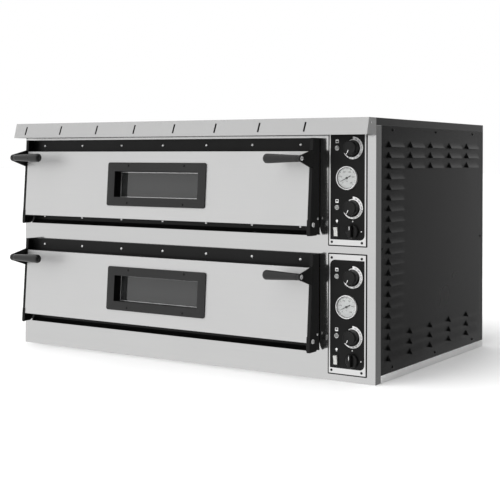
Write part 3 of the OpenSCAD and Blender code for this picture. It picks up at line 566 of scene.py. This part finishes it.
def text_outline(bm, words, size, place, u, v, height, turn=0.0):
    """Adds raised numerals, centred at (u, v), from the built-in font."""
    curve = bpy.data.curves.new("numeral", "FONT")
    curve.body = words
    curve.size = size
    curve.align_x = "CENTER"
    curve.align_y = "CENTER"
    curve.extrude = height / 2
    curve.resolution_u = 3
    holder = bpy.data.objects.new("numeral", curve)
    bpy.context.scene.collection.objects.link(holder)
    graph = bpy.context.evaluated_depsgraph_get()
    mesh = bpy.data.meshes.new_from_object(holder.evaluated_get(graph))
    bpy.data.objects.remove(holder)
    start = len(bm.verts)
    bm.from_mesh(mesh)
    bm.verts.ensure_lookup_table()
    cos, sin = math.cos(turn), math.sin(turn)
    for vert in bm.verts[start:]:
        x, y, z = vert.co
        vert.co = place(u + x * cos - y * sin, v + x * sin + y * cos, z + height / 2)
    bpy.data.meshes.remove(mesh)


# ---------------------------------------------------------------- screws


def screw_master(radius, height, cross=True):
    """A domed screw head of the given size, with a real cross recess, as a mesh about its own seat."""
    bm = bmesh.new()
    dome = [(0, height), (radius * 0.35, height * 0.97), (radius * 0.65, height * 0.84)]
    dome += [(radius * 0.87, height * 0.58), (radius * 0.98, height * 0.3), (radius, 0.0), (0, 0.0)]
    straight = lambda u, v, out: Vector((u, v, out))
    lathe(bm, dome, straight, 32)
    bmesh.ops.recalc_face_normals(bm, faces=bm.faces)
    mesh = bpy.data.meshes.new("screw_head")
    bm.to_mesh(mesh)
    bm.free()
    if not cross:
        return mesh
    cutter = bmesh.new()
    arm, slot = radius * 0.52, radius * 0.11
    points = [(slot, arm), (-slot, arm), (-slot, slot), (-arm, slot), (-arm, -slot), (-slot, -slot)]
    points += [(-slot, -arm), (slot, -arm), (slot, -slot), (arm, -slot), (arm, slot), (slot, slot)]
    prism(cutter, points, straight, height * 0.45, height * 1.5)
    return carve(mesh, cutter)


def add_screws(bm, master, spots):
    """Adds copies of a screw head, each given as (seat point, direction, turn)."""
    for seat, direction, turn in spots:
        start = len(bm.verts)
        bm.from_mesh(master)
        bm.verts.ensure_lookup_table()
        face = Vector((0, 0, 1)).rotation_difference(direction.normalized()).to_matrix().to_4x4()
        move = Matrix.Translation(seat) @ face @ Matrix.Rotation(turn, 4, "Z") @ Matrix.Scale(MM, 4)
        for vert in bm.verts[start:]:
            vert.co = move @ vert.co


def head_seat(low, high, direction, height):
    """The point under a screw's head: the tip of its solid's box along the direction, less the head."""
    centre = (low + high) / 2
    axis = max(range(3), key=lambda i: abs(direction[i]))
    tip = high if direction[axis] > 0 else low
    centre[axis] = tip[axis]
    return centre - direction.normalized() * height * MM


RIGHT, LEFT = Vector((1, 0, 0)), Vector((-1, 0, 0))
FRONT, BACK = Vector((0, -1, 0)), Vector((0, 1, 0))


def build_casing_screws():
    """Dark screws in the sides and the back, and bright ones and rivets at the hood's ends."""
    dark, bright = bmesh.new(), bmesh.new()
    screw, small, rivet = screw_master(3.5, 2.2), screw_master(2.8, 1.6), screw_master(2.2, 1.0, cross=False)
    back_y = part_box("back_panel")[1].y
    hood_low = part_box("hood")[0]
    for i, (low, high) in enumerate(islands("casing_screws")):
        size = high - low
        side = RIGHT if low.x + high.x > 0 else LEFT
        if high.y > back_y:
            add_screws(dark, screw, [(head_seat(low, high, BACK, 2.2), BACK, i * 1.7)])
        elif low.y < CORNER.y and size.y > size.x:
            add_screws(bright, small, [(head_seat(low, high, FRONT, 1.6), FRONT, 0.6)])
        elif low.y < CORNER.y and low.z > hood_low.z:
            add_screws(bright, rivet, [(head_seat(low, high, side, 1.0), side, 0)])
        else:
            add_screws(dark, screw, [(head_seat(low, high, side, 2.2), side, i * 1.7)])
    piece("casing_screws_look", dark, DARK_SCREW, "oven", 30, ("casing_screws",))
    piece("hood_screws", bright, POLISHED_METAL_AND_SHEEN, "oven", 30, ())


def build_panel_screws():
    bm = bmesh.new()
    master = screw_master(3.2, 2.0)
    spots = []
    for i, (low, high) in enumerate(islands("panel_screws")):
        spots.append((head_seat(low, high, FRONT, 2.0), FRONT, i * 1.1))
    add_screws(bm, master, spots)
    piece("panel_screws_look", bm, DARK_SCREW, "oven", 30, ("panel_screws",))


def skin_normal(deck):
    """Outward normal of a door's sloping skin, from its box."""
    low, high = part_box(deck + "_door_skin")
    rise = high.z - low.z
    lean = (high.y - low.y) - 1.2 * MM
    return Vector((0, -rise, lean)).normalized()


def build_door_screws(deck):
    """Band screws and grip screws are bright; bezel screws are dark."""
    bright, dark = bmesh.new(), bmesh.new()
    small, cheek_screw = screw_master(3.7, 2.2), screw_master(3.0, 1.8)
    large, bezel = screw_master(6.0, 3.0), screw_master(2.8, 1.8)
    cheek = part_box(deck + "_door_shell")
    window_low, window_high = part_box(deck + "_window_bezel")
    normal = skin_normal(deck)
    for i, (low, high) in enumerate(islands(deck + "_door_screws")):
        centre = (low + high) / 2
        size = high - low
        if centre.x < cheek[0].x + 8 * MM or centre.x > cheek[1].x - 8 * MM:
            way = LEFT if centre.x < 0 and centre.x < cheek[0].x + 8 * MM else RIGHT
            big = size.z > 9 * MM
            height = 3.0 if big else 1.8
            seat = head_seat(low, high, way, height)
            add_screws(bright, large if big else cheek_screw, [(seat, way, i * 0.9)])
        elif window_low.x < centre.x < window_high.x and window_low.z < centre.z < window_high.z:
            tip = Vector((centre.x, low.y, centre.z)) - normal * 1.8 * MM
            add_screws(dark, bezel, [(tip, normal, i * 1.3)])
        else:
            add_screws(bright, small, [(head_seat(low, high, FRONT, 2.2), FRONT, i * 0.8)])
    body = deck + "_door"
    piece(deck + "_door_bright_screws", bright, POLISHED_METAL_AND_SHEEN, body, 30, (deck + "_door_screws",))
    piece(deck + "_bezel_screws", dark, DARK_SCREW, body, 30, ())


def build_hinge_bolts():
    """Pivot bolt heads: a washer, a domed head and a hex socket."""
    bm = bmesh.new()
    for low, high in islands("hinge_bolts"):
        way = LEFT if (low + high).x < 2 * middle("upper_door_shell").x else RIGHT
        tip = head_seat(low, high, way, 3.2)
        place = aimed_place(tip, way)
        socket = [(0, 1.4), (2.0, 1.4), (2.2, 2.9)]
        crown = [(3.4, 3.2), (4.8, 2.7), (5.7, 1.7), (6.0, 0.8), (6.0, 0.0)]
        lathe(bm, socket + crown + [(4.0, 0.0), (4.0, -7.0), (0, -7.0)], place, 36)
    piece("hinge_bolts_look", bm, POLISHED_METAL_AND_SHEEN, "oven", 35, ("hinge_bolts",))


# ---------------------------------------------------------------- casing


def build_casing():
    soften("front_frame", 0.5, FRONT_STEEL)
    hood = soften("hood", 0.2, HOOD_STEEL)
    low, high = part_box("hood")
    # The hood's inner faces take the black finish: painted shade inside the hood.
    paint_faces(hood, HOOD_PAINTED_SHADE, lambda centre, normal: is_inside_hood(centre, normal, low, high))
    soften("top_cover", 0.5, COVER_PAINT)
    soften("base_tray", 0.5, BASE_STRIP_PAINTED_REFLECTION)
    soften("back_panel", 0.45, BACK_PAINT)
    soften("right_side_panel", 0.32, SIDE_PAINT)
    soften("left_side_panel", 0.32, SIDE_PAINT)
    for deck in DECKS:
        soften(deck + "_chamber", 0.45, LINING)
    soften("hinge_arms", 0.25, DOOR_PAINT)
    soften("stone_racks", 0.4, TUBE)
    soften("control_bay_wall", 0.4, ZINC)
    soften("deck_supports", 0.5, ZINC)
    soften("contactors", 1.2, GREY_PLASTIC)
    soften("cable_gland", 0.6, BLACK_NYLON)


def is_inside_hood(centre, normal, low, high):
    """True for the hood's inner faces, which get a black finish as painted shade."""
    inside_x = low.x + 0.4 * MM < centre.x < high.x - 0.4 * MM
    return inside_x and centre.z < high.z - 0.6 * MM and centre.y < high.y - 0.2 * MM and (
        normal.y > 0.5 or normal.z < -0.5 and centre.z > low.z + 1 * MM
        or abs(normal.x) > 0.5 or normal.y < -0.5 and centre.y > high.y - 3 * MM
    )


# ---------------------------------------------------------------- doors


def build_door(deck):
    body = deck + "_door"
    soften(deck + "_door_shell", 0.4, DOOR_PAINT)
    soften(deck + "_door_skin", 0.35, SKIN_STEEL)
    soften(deck + "_door_liner", 0.35, LINING)
    bezel = soften(deck + "_window_bezel", 0.6, BEZEL_PAINT, 3)
    place = window_place(deck)
    out = place(0, 0, 1) - place(0, 0, 0)
    seat = place(0, 0, 0)
    # Faces set back behind the bezel's seat take the darker black: the tunnel's paint with painted shade.
    paint_faces(bezel, TUNNEL_PAINT_AND_SHADE, lambda centre, normal: (centre - seat).dot(out) < -0.5 * MM * MM)
    bead = bmesh.new()
    outer = rounded_rectangle(279.6, 69.6, (1,) * 4, 3)
    inner = rounded_rectangle(276.4, 66.4, (1,) * 4, 3)
    ring_prism(bead, outer, inner, place, -26, -25.2)
    piece(deck + "_glass_bead", bead, POLISHED_METAL_AND_SHEEN, body, 30, ())
    soften(deck + "_window_glass", 0.5, WINDOW_GLASS)
    soften(deck + "_handle_plates", 0.6, PLATE_PAINT)
    build_grips(deck, body)


def window_place(deck):
    """A place in a window's own leaning frame: u to the right, v up its slope, out towards the user."""
    low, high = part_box(deck + "_window_bezel")
    skin = skin_normal(deck)
    rise = Vector((0, -skin.z, skin.y)) * -1
    bezel_mid = (low + high) / 2
    front = Vector((bezel_mid.x, low.y, low.z)) + rise * (high.z - low.z) / 2
    seat = front - skin * 3 * MM
    return lambda u, v, out: seat + Vector((u * MM, 0, 0)) + rise * v * MM + skin * out * MM


def build_grips(deck, body):
    """Turned grips: a collar at the plate, a slow swell to the free end, a parting line and a rounded end."""
    bm = bmesh.new()
    grips = sorted(islands(deck + "_handle_grips"), key=lambda box: box[0].x)
    for (low, high), way in zip(grips, (RIGHT, LEFT)):
        root = (low + high) / 2
        root.x = low.x if way is RIGHT else high.x
        length = (high.x - low.x) / MM
        end = (high.z - low.z) / 2 / MM
        neck = 8.3
        profile = [(0, 0.0), (neck - 1.2, 0.0), (neck - 0.4, 0.4), (neck, 1.4), (neck, 4.2)]
        profile += [(neck - 0.7, 5.0), (neck - 0.7, 6.2), (neck + 0.1, 7.2)]
        for i in range(1, 13):
            t = i / 12
            swell = t * t * (3 - 2 * t)
            radius = neck + 0.1 + (end - neck - 0.1) * (0.55 * t + 0.45 * swell)
            profile.append((radius, 7.2 + (length - 15.5) * t))
        centre = length - 8.2
        for i in range(1, 9):
            turn = math.radians(90 * i / 8)
            profile.append((max(end - 8.2 + 8.2 * math.cos(turn), 0), centre + 8.2 * math.sin(turn)))
        profile.append((0, length))
        lathe(bm, profile, aimed_place(root, way), 48)
    bmesh.ops.remove_doubles(bm, verts=bm.verts, dist=0.001 * MM)
    piece(deck + "_handle_grips_look", bm, GRIP_PLASTIC, body, 40, (deck + "_handle_grips",))


# ---------------------------------------------------------------- controls

# The heat scale starts wide at the top and thins out towards the lower left, where it ends at a clock
# angle in degrees. Radii and heights over the panel are in millimetres.
SCALE_END = 245
SCALE_OUTER = 27.2
SCALE_INNER = 18.9
SCALE_MARKS = (50, 100, 150, 200, 250, 300, 350, 400, 450)
FACE_TOP = 0.2
PRINT_TOP = FACE_TOP + 0.12
# The clock angle of a heat knob's pointer at rest
KNOB_REST = 207
# A knob's shaft, as a profile to turn
SHAFT = [(0, 1.0), (3.0, 1.0), (3.0, -17.0), (0, -17.0)]


def scale_inner(turn):
    """Inner radius of the heat scale, which meets the outer one at its thin end."""
    share = turn / SCALE_END
    return SCALE_INNER + (SCALE_OUTER - SCALE_INNER - 0.5) * share ** 2.4


# Openings in the painted face for the knobs' shafts and for the rocker
SHAFT_HOLE = 3.6
ROCKER_OPENING = (14, 26)


def panel_prints(deck):
    """One control panel's black face, the white and black print over it, and a black rim around it that
    paints the shadow gap at its edge.
    """
    panel_low, panel_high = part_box(deck + "_control_panel")
    face_y = panel_low.y
    width = (panel_high.x - panel_low.x) / MM
    height = (panel_high.z - panel_low.z) / MM
    centre = (panel_low + panel_high) / 2
    face = bmesh.new()
    outline = rounded_rectangle(width - 7.0, height - 27, (1.5, 13, 1.5, 13), 10)
    prism(face, outline, front_place(centre.x, centre.z, face_y), 0, FACE_TOP)
    bmesh.ops.recalc_face_normals(face, faces=face.faces)
    uncut = bpy.data.meshes.new("uncut_face")
    face.to_mesh(uncut)
    face.clear()
    holes = bmesh.new()
    for knob in ("top_heat_knob", "floor_heat_knob", "selector_knob"):
        spot = middle(f"{deck}_{knob}")
        hole = [(0, -1), (SHAFT_HOLE, -1), (SHAFT_HOLE, 1), (0, 1)]
        lathe(holes, hole, front_place(spot.x, spot.z, face_y), 32)
    spot = middle(deck + "_light_rocker")
    opening = rounded_rectangle(ROCKER_OPENING[0], ROCKER_OPENING[1], (1, 1, 1, 1), 3)
    prism(holes, opening, front_place(spot.x, spot.z, face_y), -1, 1)
    face.from_mesh(carve(uncut, holes))
    piece(deck + "_panel_face", face, FACE_PAINT, "oven", 35, ())

    white, black = bmesh.new(), bmesh.new()
    for knob in ("top_heat", "floor_heat"):
        spot = middle(f"{deck}_{knob}_knob")
        place = front_place(spot.x, spot.z, face_y)
        steps = 60
        outer = [clock(SCALE_END * i / steps, SCALE_OUTER) for i in range(steps + 1)]
        inner = [clock(SCALE_END * i / steps, scale_inner(SCALE_END * i / steps)) for i in range(steps + 1)]
        band(white, outer, inner, place)
        thin_out = [clock(-32 + 32 * i / 10, 20.4 + 1.2 * i / 10) for i in range(11)]
        thin_in = [clock(-32 + 32 * i / 10, 19.2) for i in range(11)]
        band(white, thin_out, thin_in, place)
        for i, mark in enumerate(SCALE_MARKS):
            turn = 22 + i * 21.5
            radius = (SCALE_OUTER + scale_inner(turn)) / 2
            u, v = clock(turn, radius)
            size = min(5.2, (SCALE_OUTER - scale_inner(turn)) * 0.72)
            raised = place_raised(place, PRINT_TOP)
            text_outline(black, str(mark), size, raised, u, v, 0.08, -math.radians(turn))
    icon_x = middle("pilot_lamps").x
    top = middle(deck + "_top_heat_knob").z
    floor = middle(deck + "_floor_heat_knob").z
    heat_icon(white, front_place(icon_x, top + 16.5 * MM, face_y), 1)
    heat_icon(white, front_place(icon_x, floor + 15.5 * MM, face_y), -1)
    selector = middle(deck + "_selector_knob")
    lamp_icon(white, front_place(icon_x, selector.z + 23.5 * MM, face_y))
    selector_place = front_place(selector.x, selector.z, face_y)
    for u, v in ((0, 24.5), (23.5, 0)):
        dot = [(u + 1.5 * math.cos(i * math.pi / 8), v + 1.5 * math.sin(i * math.pi / 8)) for i in range(16)]
        prism(white, dot, selector_place, FACE_TOP, PRINT_TOP)
    piece(deck + "_panel_white_print", white, WHITE_INK, "oven", 35, ())
    piece(deck + "_panel_numerals", black, BLACK_INK, "oven", 35, ())

    # A thin black rim around the plate: painted shadow of the gap at its edge.
    shadow_gap = bmesh.new()
    plate_outline = rounded_rectangle(width, height, (0.6,) * 4, 2)
    rim = rounded_rectangle(width + 5.6, height + 5.6, (1.6,) * 4, 2)
    ring_prism(shadow_gap, rim, plate_outline, front_place(centre.x, centre.z, panel_high.y), 0, 1.1)
    piece(deck + "_panel_gasket", shadow_gap, SHADOW_GAP_BLACK, "oven", 35, ())


def band(bm, outer, inner, place):
    """A printed band between two open curves."""
    for i in range(len(outer) - 1):
        corners = (outer[i], outer[i + 1], inner[i + 1], inner[i])
        prism(bm, corners, place, FACE_TOP, PRINT_TOP)
    bmesh.ops.remove_doubles(bm, verts=bm.verts, dist=0.001 * MM)


def place_raised(place, rise):
    return lambda u, v, out: place(u, v, out + rise)


def heat_icon(bm, place, side):
    """An oven symbol: a square frame with a heat bar at its top or its bottom."""
    frame_out = rounded_rectangle(8.4, 8.4, (0.8,) * 4, 3)
    frame_in = rounded_rectangle(5.6, 5.6, (0.4,) * 4, 3)
    ring_prism(bm, frame_out, frame_in, place, FACE_TOP, PRINT_TOP)
    bar = [(-2.8, side * 1.1), (2.8, side * 1.1), (2.8, side * 2.8), (-2.8, side * 2.8)]
    prism(bm, bar, place, FACE_TOP, PRINT_TOP)


def lamp_icon(bm, place):
    """A bulb symbol: a round bulb over a short cap."""
    turns = [math.radians(a) for a in range(-50, 231, 14)]
    bulb = [(3.0 * math.cos(turn), 1.0 + 3.0 * math.sin(turn)) for turn in turns]
    prism(bm, bulb + [(-1.2, -2.6), (1.2, -2.6)], place, FACE_TOP, PRINT_TOP)
    prism(bm, [(-1.2, -4.2), (1.2, -4.2), (1.2, -3.2), (-1.2, -3.2)], place, FACE_TOP, PRINT_TOP)


def knob_place(deck, node):
    """A knob's place on its panel, its radius and how far it stands out."""
    low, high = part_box(node)
    panel_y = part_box(deck + "_control_panel")[0].y
    centre = (low + high) / 2
    place = front_place(centre.x, centre.z, panel_y)
    return place, (high.x - low.x) / 2 / MM, (panel_y - low.y) / MM


def build_heat_knob(deck, kind):
    """Turned knob with a rounded shoulder, a dished face and a white pointer line."""
    node = f"{deck}_{kind}_knob"
    place, radius, depth = knob_place(deck, node)
    bm = bmesh.new()
    profile = [(0, depth - 0.9), (radius - 4.2, depth - 0.9), (radius - 3.2, depth - 0.5)]
    profile += [(radius - 2.4, depth), (radius - 1.5, depth), (radius - 0.7, depth - 0.3)]
    profile += [(radius - 0.35, depth - 1.1), (radius - 0.15, depth * 0.5)]
    profile += [(radius, 2.2), (radius, 1.2), (radius - 0.3, 0.8), (0, 0.8)]
    lathe(bm, profile, place, 72)
    lathe(bm, SHAFT, place, 24)
    body = body_of(node)
    piece(node + "_look", bm, KNOB_PLASTIC, body, 32, (node,))
    pointer = bmesh.new()
    turn = math.radians(KNOB_REST)

    def stripe(inner, outer, half, low_end, high_end):
        """A short bar that points outward from the knob's axis."""
        ends = ((inner, -half), (outer, -half), (outer, half), (inner, half))
        corners = [
            (r * math.sin(turn) + side * math.cos(turn), r * math.cos(turn) - side * math.sin(turn))
            for r, side in ends
        ]
        prism(pointer, corners, place, low_end, high_end)

    stripe(radius * 0.35, radius - 4.4, 0.8, depth - 0.95, depth - 0.75)
    stripe(radius - 3.0, radius - 0.9, 0.9, depth - 0.2, depth + 0.12)
    for step in range(6):
        stripe(radius - 0.5, radius + 0.05, 0.8, depth - 3.1 - step * 1.9, depth - 1.2 - step * 1.9)
    piece(node + "_pointer", pointer, WHITE_INK, body, 35, ())


def build_selector(deck):
    """Selector knob: a turned disc with a rounded grip bar and a white line along it."""
    node = deck + "_selector_knob"
    place, radius, depth = knob_place(deck, node)
    bm = bmesh.new()
    disc = [(0, 7.4), (radius - 4.0, 7.2), (radius - 1.4, 6.2), (radius - 0.4, 5.0)]
    rim = [(radius, 3.4), (radius, 1.1), (radius - 0.3, 0.8), (0, 0.8)]
    lathe(bm, disc + rim, place, 64)
    lathe(bm, SHAFT, place, 24)
    half, reach = 4.4, radius - 0.8
    levels = ((6.0, 0.9), (depth - 2.4, 0.0), (depth - 1.0, -0.5), (depth - 0.25, -1.3), (depth, -2.4))
    rings = []
    for height, grow in levels:
        corner = half + grow * 0.6 - 0.05
        points = rounded_rectangle(2 * (half + grow * 0.6), 2 * (reach + grow * 0.3), (corner,) * 4, 8)
        rings.append([bm.verts.new(place(u, v, height)) for u, v in points])
    for lower, upper in zip(rings, rings[1:]):
        for i in range(len(lower)):
            j = (i + 1) % len(lower)
            bm.faces.new((lower[i], lower[j], upper[j], upper[i]))
    bm.faces.new(rings[-1])
    bm.faces.new(rings[0])
    body = body_of(node)
    piece(node + "_look", bm, KNOB_PLASTIC, body, 32, (node,))
    line = bmesh.new()
    prism(line, [(-0.6, 4), (0.6, 4), (0.6, reach - 3), (-0.6, reach - 3)], place, depth - 0.1, depth + 0.1)
    piece(node + "_line", line, WHITE_INK, body, 35, ())


GAUGE_MARKS = (0, 100, 200, 300, 400, 500)
GAUGE_SWEEP = 270


def gauge_box(deck):
    """The box of one deck's gauge; both gauges are solids of one CAD node."""
    boxes = sorted(islands("gauge_cases"), key=lambda box: box[0].z)
    wide = [box for box in boxes if box[1].x - box[0].x > 50 * MM]
    return wide[-1] if deck == "upper" else wide[0]


def build_gauges():
    case, dial, marks = bmesh.new(), bmesh.new(), bmesh.new()
    glass, rings = bmesh.new(), bmesh.new()
    for deck in DECKS:
        low, high = gauge_box(deck)
        panel_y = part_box(deck + "_control_panel")[0].y
        radius = (high.x - low.x) / 2 / MM
        spot = (low + high) / 2
        place = front_place(spot.x, spot.z, panel_y)
        rim = [(radius - 3.1, 1.2), (radius - 3.0, 3.6), (radius - 2.9, 4.9), (radius - 2.3, 5.5)]
        rim += [(radius - 1.2, 5.45), (radius - 0.4, 4.9), (radius, 3.9), (radius, 0.4)]
        rim += [(radius - 0.3, 0.0), (radius - 3.2, 0.0)]
        rim += [(radius - 3.2, -20.0), (0, -20.0)]
        lathe(case, rim, place, 80)
        lathe(dial, [(0, 1.1), (radius - 3.15, 1.1), (radius - 3.15, 0.4), (0, 0.4)], place, 80)
        lathe(glass, [(0, 4.9), (12, 4.8), (radius - 3.2, 4.4), (radius - 3.2, 4.0), (0, 4.1)], place, 72)
        for i in range(51):
            turn = -GAUGE_SWEEP / 2 + GAUGE_SWEEP * i / 50
            long = i % 5 == 0
            inner = radius - (8.4 if long else 6.6)
            wide = 0.28 if long else 0.16
            side_u, side_v = clock(turn + 90, wide)
            (u0, v0), (u1, v1) = clock(turn, inner), clock(turn, radius - 4.9)
            tick = [(u0 - side_u, v0 - side_v), (u1 - side_u, v1 - side_v)]
            tick += [(u1 + side_u, v1 + side_v), (u0 + side_u, v0 + side_v)]
            prism(marks, tick, place, 1.1, 1.22)
        for i, mark in enumerate(GAUGE_MARKS):
            u, v = clock(-GAUGE_SWEEP / 2 + GAUGE_SWEEP * i / 5, radius - 12.6)
            text_outline(marks, str(mark), 4.6, place_raised(place, 1.1), u, v, 0.1)
        text_outline(marks, "°C", 4.2, place_raised(place, 1.1), 0, -8.5, 0.1)
        # A thin black ring on the dial just inside the bezel: a painted shadow line where the bezel meets the
        # dial.
        inner_edge = [clock(i * 5, radius - 4.2) for i in range(72)]
        outer_edge = [clock(i * 5, radius - 3.3) for i in range(72)]
        ring_prism(rings, outer_edge, inner_edge, place, 1.05, 1.6)
        build_needle(deck, place)
    piece("gauge_cases_look", case, POLISHED_METAL_AND_SHEEN, "oven", 30, ("gauge_cases",))
    piece("gauge_dials", dial, DIAL_WHITE, "oven", 30, ())
    piece("gauge_marks", marks, BLACK_INK, "oven", 30, ())
    piece("gauge_shadow_rings", rings, BLACK_INK, "oven", 30, ())
    piece("gauge_glasses_look", glass, DIAL_GLASS, "oven", 30, ("gauge_glasses",))


NEEDLE_ANGLE = -117


def build_needle(deck, place):
    """Thin pointer with a tapered tail and a turned hub."""
    bm = bmesh.new()
    turn = NEEDLE_ANGLE
    du, dv = clock(turn, 1)
    su, sv = clock(turn + 90, 1)
    edge = [(-12, 0.6), (-10.5, 1.5), (-4, 0.8), (4, 0.8), (19.8, 0.3)]
    outline = edge + [(r, -w) for r, w in reversed(edge)]
    prism(bm, [(du * r + su * w, dv * r + sv * w) for r, w in outline], place, 2.1, 2.5)
    lathe(bm, [(0, 3.5), (1.6, 3.4), (2.6, 3.0), (2.9, 2.5), (2.9, 2.0), (0, 2.0)], place, 32)
    node = deck + "_gauge_needle"
    piece(node + "_look", bm, BLACK_INK, body_of(node), 35, (node,))


def build_pilot_lamps():
    """Signal lamps: a bright rim and a faceted clear lens over a pale reflector."""
    rim, lens, cup = bmesh.new(), bmesh.new(), bmesh.new()
    for low, high in islands("pilot_lamps"):
        spot = (low + high) / 2
        panel_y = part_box("upper_control_panel")[0].y
        place = front_place(spot.x, spot.z, panel_y)
        lathe(rim, [(4.5, 0.2), (4.6, 1.5), (5.2, 1.7), (5.8, 1.3), (6.0, 0.2), (4.5, 0.2)], place, 48)
        lathe(lens, [(0, 3.0), (1.7, 2.8), (3.4, 2.2), (4.4, 1.2), (4.4, 0.6), (0, 0.6)], place, 10)
        lathe(cup, [(0, 0.35), (4.4, 0.35), (4.4, -16.0), (0, -16.0)], place, 24)
    piece("pilot_lamp_rims", rim, POLISHED_METAL_AND_SHEEN, "oven", 30, ())
    piece("pilot_lamp_lenses", lens, LENS_GLASS, "oven", 8, ("pilot_lamps",))
    piece("pilot_lamp_cups", cup, WHITE_PLASTIC, "oven", 30, ())


def build_light_switch(deck):
    soften(deck + "_light_rocker", 0.7, WHITE_PLASTIC, 3, 20)


# ---------------------------------------------------------------- inside


def build_inside():
    soften("hearth_stones", 1.2, STONE, 3)
    for node, material in (
        ("heating_elements", TUBE), ("sensor_probes", COPPER), ("chamber_insulation", WOOL),
        ("upper_door_insulation", WOOL), ("lower_door_insulation", WOOL),
        ("thermostat_bodies", GREY_PLASTIC), ("selector_switch_bodies", BLACK_NYLON),
        ("oven_lamps", CERAMIC), ("lamp_glasses", LAMP_GLASS),
    ):
        dress(node, material)
    soften("light_switch_housings", 0.45, BLACK_NYLON)
    for deck in DECKS:
        soften(deck + "_control_panel", 0.3, PANEL_STEEL)


def dress(node, material):
    """Gives a CAD node that keeps its own shape a finish and smooth round faces."""
    mesh = NODES[node].data
    mesh.materials.clear()
    mesh.materials.append(material)
    mesh.shade_smooth()
    mesh.set_sharp_from_angle(angle=math.radians(35))


# ---------------------------------------------------------------- build

build_casing()
build_inside()
build_casing_screws()
build_panel_screws()
build_hinge_bolts()
build_gauges()
build_pilot_lamps()
for deck in DECKS:
    build_door(deck)
    build_door_screws(deck)
    panel_prints(deck)
    build_heat_knob(deck, "top_heat")
    build_heat_knob(deck, "floor_heat")
    build_selector(deck)
    build_light_switch(deck)

# ---------------------------------------------------------------- studio


# How far the floor reaches from the oven, in metres
FLOOR_REACH = 40.0


def build_floor():
    """Plain pale floor, wide enough to fill the view."""
    bm = bmesh.new()
    bmesh.ops.create_grid(bm, x_segments=4, y_segments=4, size=FLOOR_REACH)
    mesh = bpy.data.meshes.new("floor")
    bm.to_mesh(mesh)
    bm.free()
    pale = Shader("floor", (0.93, 0.93, 0.93), 0.7)
    clouds = pale.noise(0.8, 3)
    pale.colour(pale.mix(pale.spread(clouds, 0, 1), (0.92, 0.92, 0.92), (0.94, 0.94, 0.94)))
    mesh.materials.append(pale.material)
    floor = bpy.data.objects.new("floor", mesh)
    floor.location.z = CORNER.z - 0.2 * MM
    floor.visible_glossy = False
    bpy.context.scene.collection.objects.link(floor)


# The top light's place and target in metres, its width in metres and its power in watts
TOP_LIGHT = ((0.4, -0.2, 3.4), (0, 0, 0.3), 2.6, 12)
# The broad overhead light's strength, its width and its turn in degrees
OVERHEAD_STRENGTH = 2.3
OVERHEAD_WIDTH = 60
OVERHEAD_TURN = (35, -15, 0)


def hang_light(name, light, place, turn):
    """Puts a light in the studio that shows in no reflection."""
    holder = bpy.data.objects.new(name, light)
    holder.location = place
    holder.rotation_euler = turn
    holder.visible_glossy = False
    bpy.context.scene.collection.objects.link(holder)


def build_lights():
    """A soft rectangle above the oven and a broad overhead light."""
    place, target, width, power = TOP_LIGHT
    top = bpy.data.lights.new("top", "AREA")
    top.shape = "RECTANGLE"
    top.size = top.size_y = width
    top.energy = power
    turn = (Vector(target) - Vector(place)).to_track_quat("-Z", "Y").to_euler()
    hang_light("top", top, place, turn)

    overhead = bpy.data.lights.new("overhead", "SUN")
    overhead.energy = OVERHEAD_STRENGTH
    overhead.angle = math.radians(OVERHEAD_WIDTH)
    hang_light("overhead", overhead, (0, 0, 0), [math.radians(angle) for angle in OVERHEAD_TURN])


# Where the sky starts and ends its change toward the oven's right, and its strength before and after
SKY_EDGE = (0.15, 0.5)
SKY_STRENGTH = (1.0, 0.12)


def build_sky():
    """A white studio that is darker to the oven's right, so its black side stays dark."""
    world = bpy.data.worlds.new("studio")
    world.use_nodes = True
    tree = world.node_tree
    background = tree.nodes["Background"]
    coords = tree.nodes.new("ShaderNodeTexCoord")
    split = tree.nodes.new("ShaderNodeSeparateXYZ")
    tree.links.new(coords.outputs["Generated"], split.inputs[0])
    ramp = tree.nodes.new("ShaderNodeMapRange")
    ramp.interpolation_type = "SMOOTHSTEP"
    ramp.inputs["From Min"].default_value, ramp.inputs["From Max"].default_value = SKY_EDGE
    ramp.inputs["To Min"].default_value, ramp.inputs["To Max"].default_value = SKY_STRENGTH
    tree.links.new(split.outputs["X"], ramp.inputs["Value"])
    tree.links.new(ramp.outputs["Result"], background.inputs["Strength"])
    background.inputs["Color"].default_value = (1, 1, 1, 1)
    bpy.context.scene.world = world


build_floor()
build_sky()
build_lights()
bpy.context.scene.view_settings.view_transform = "Standard"
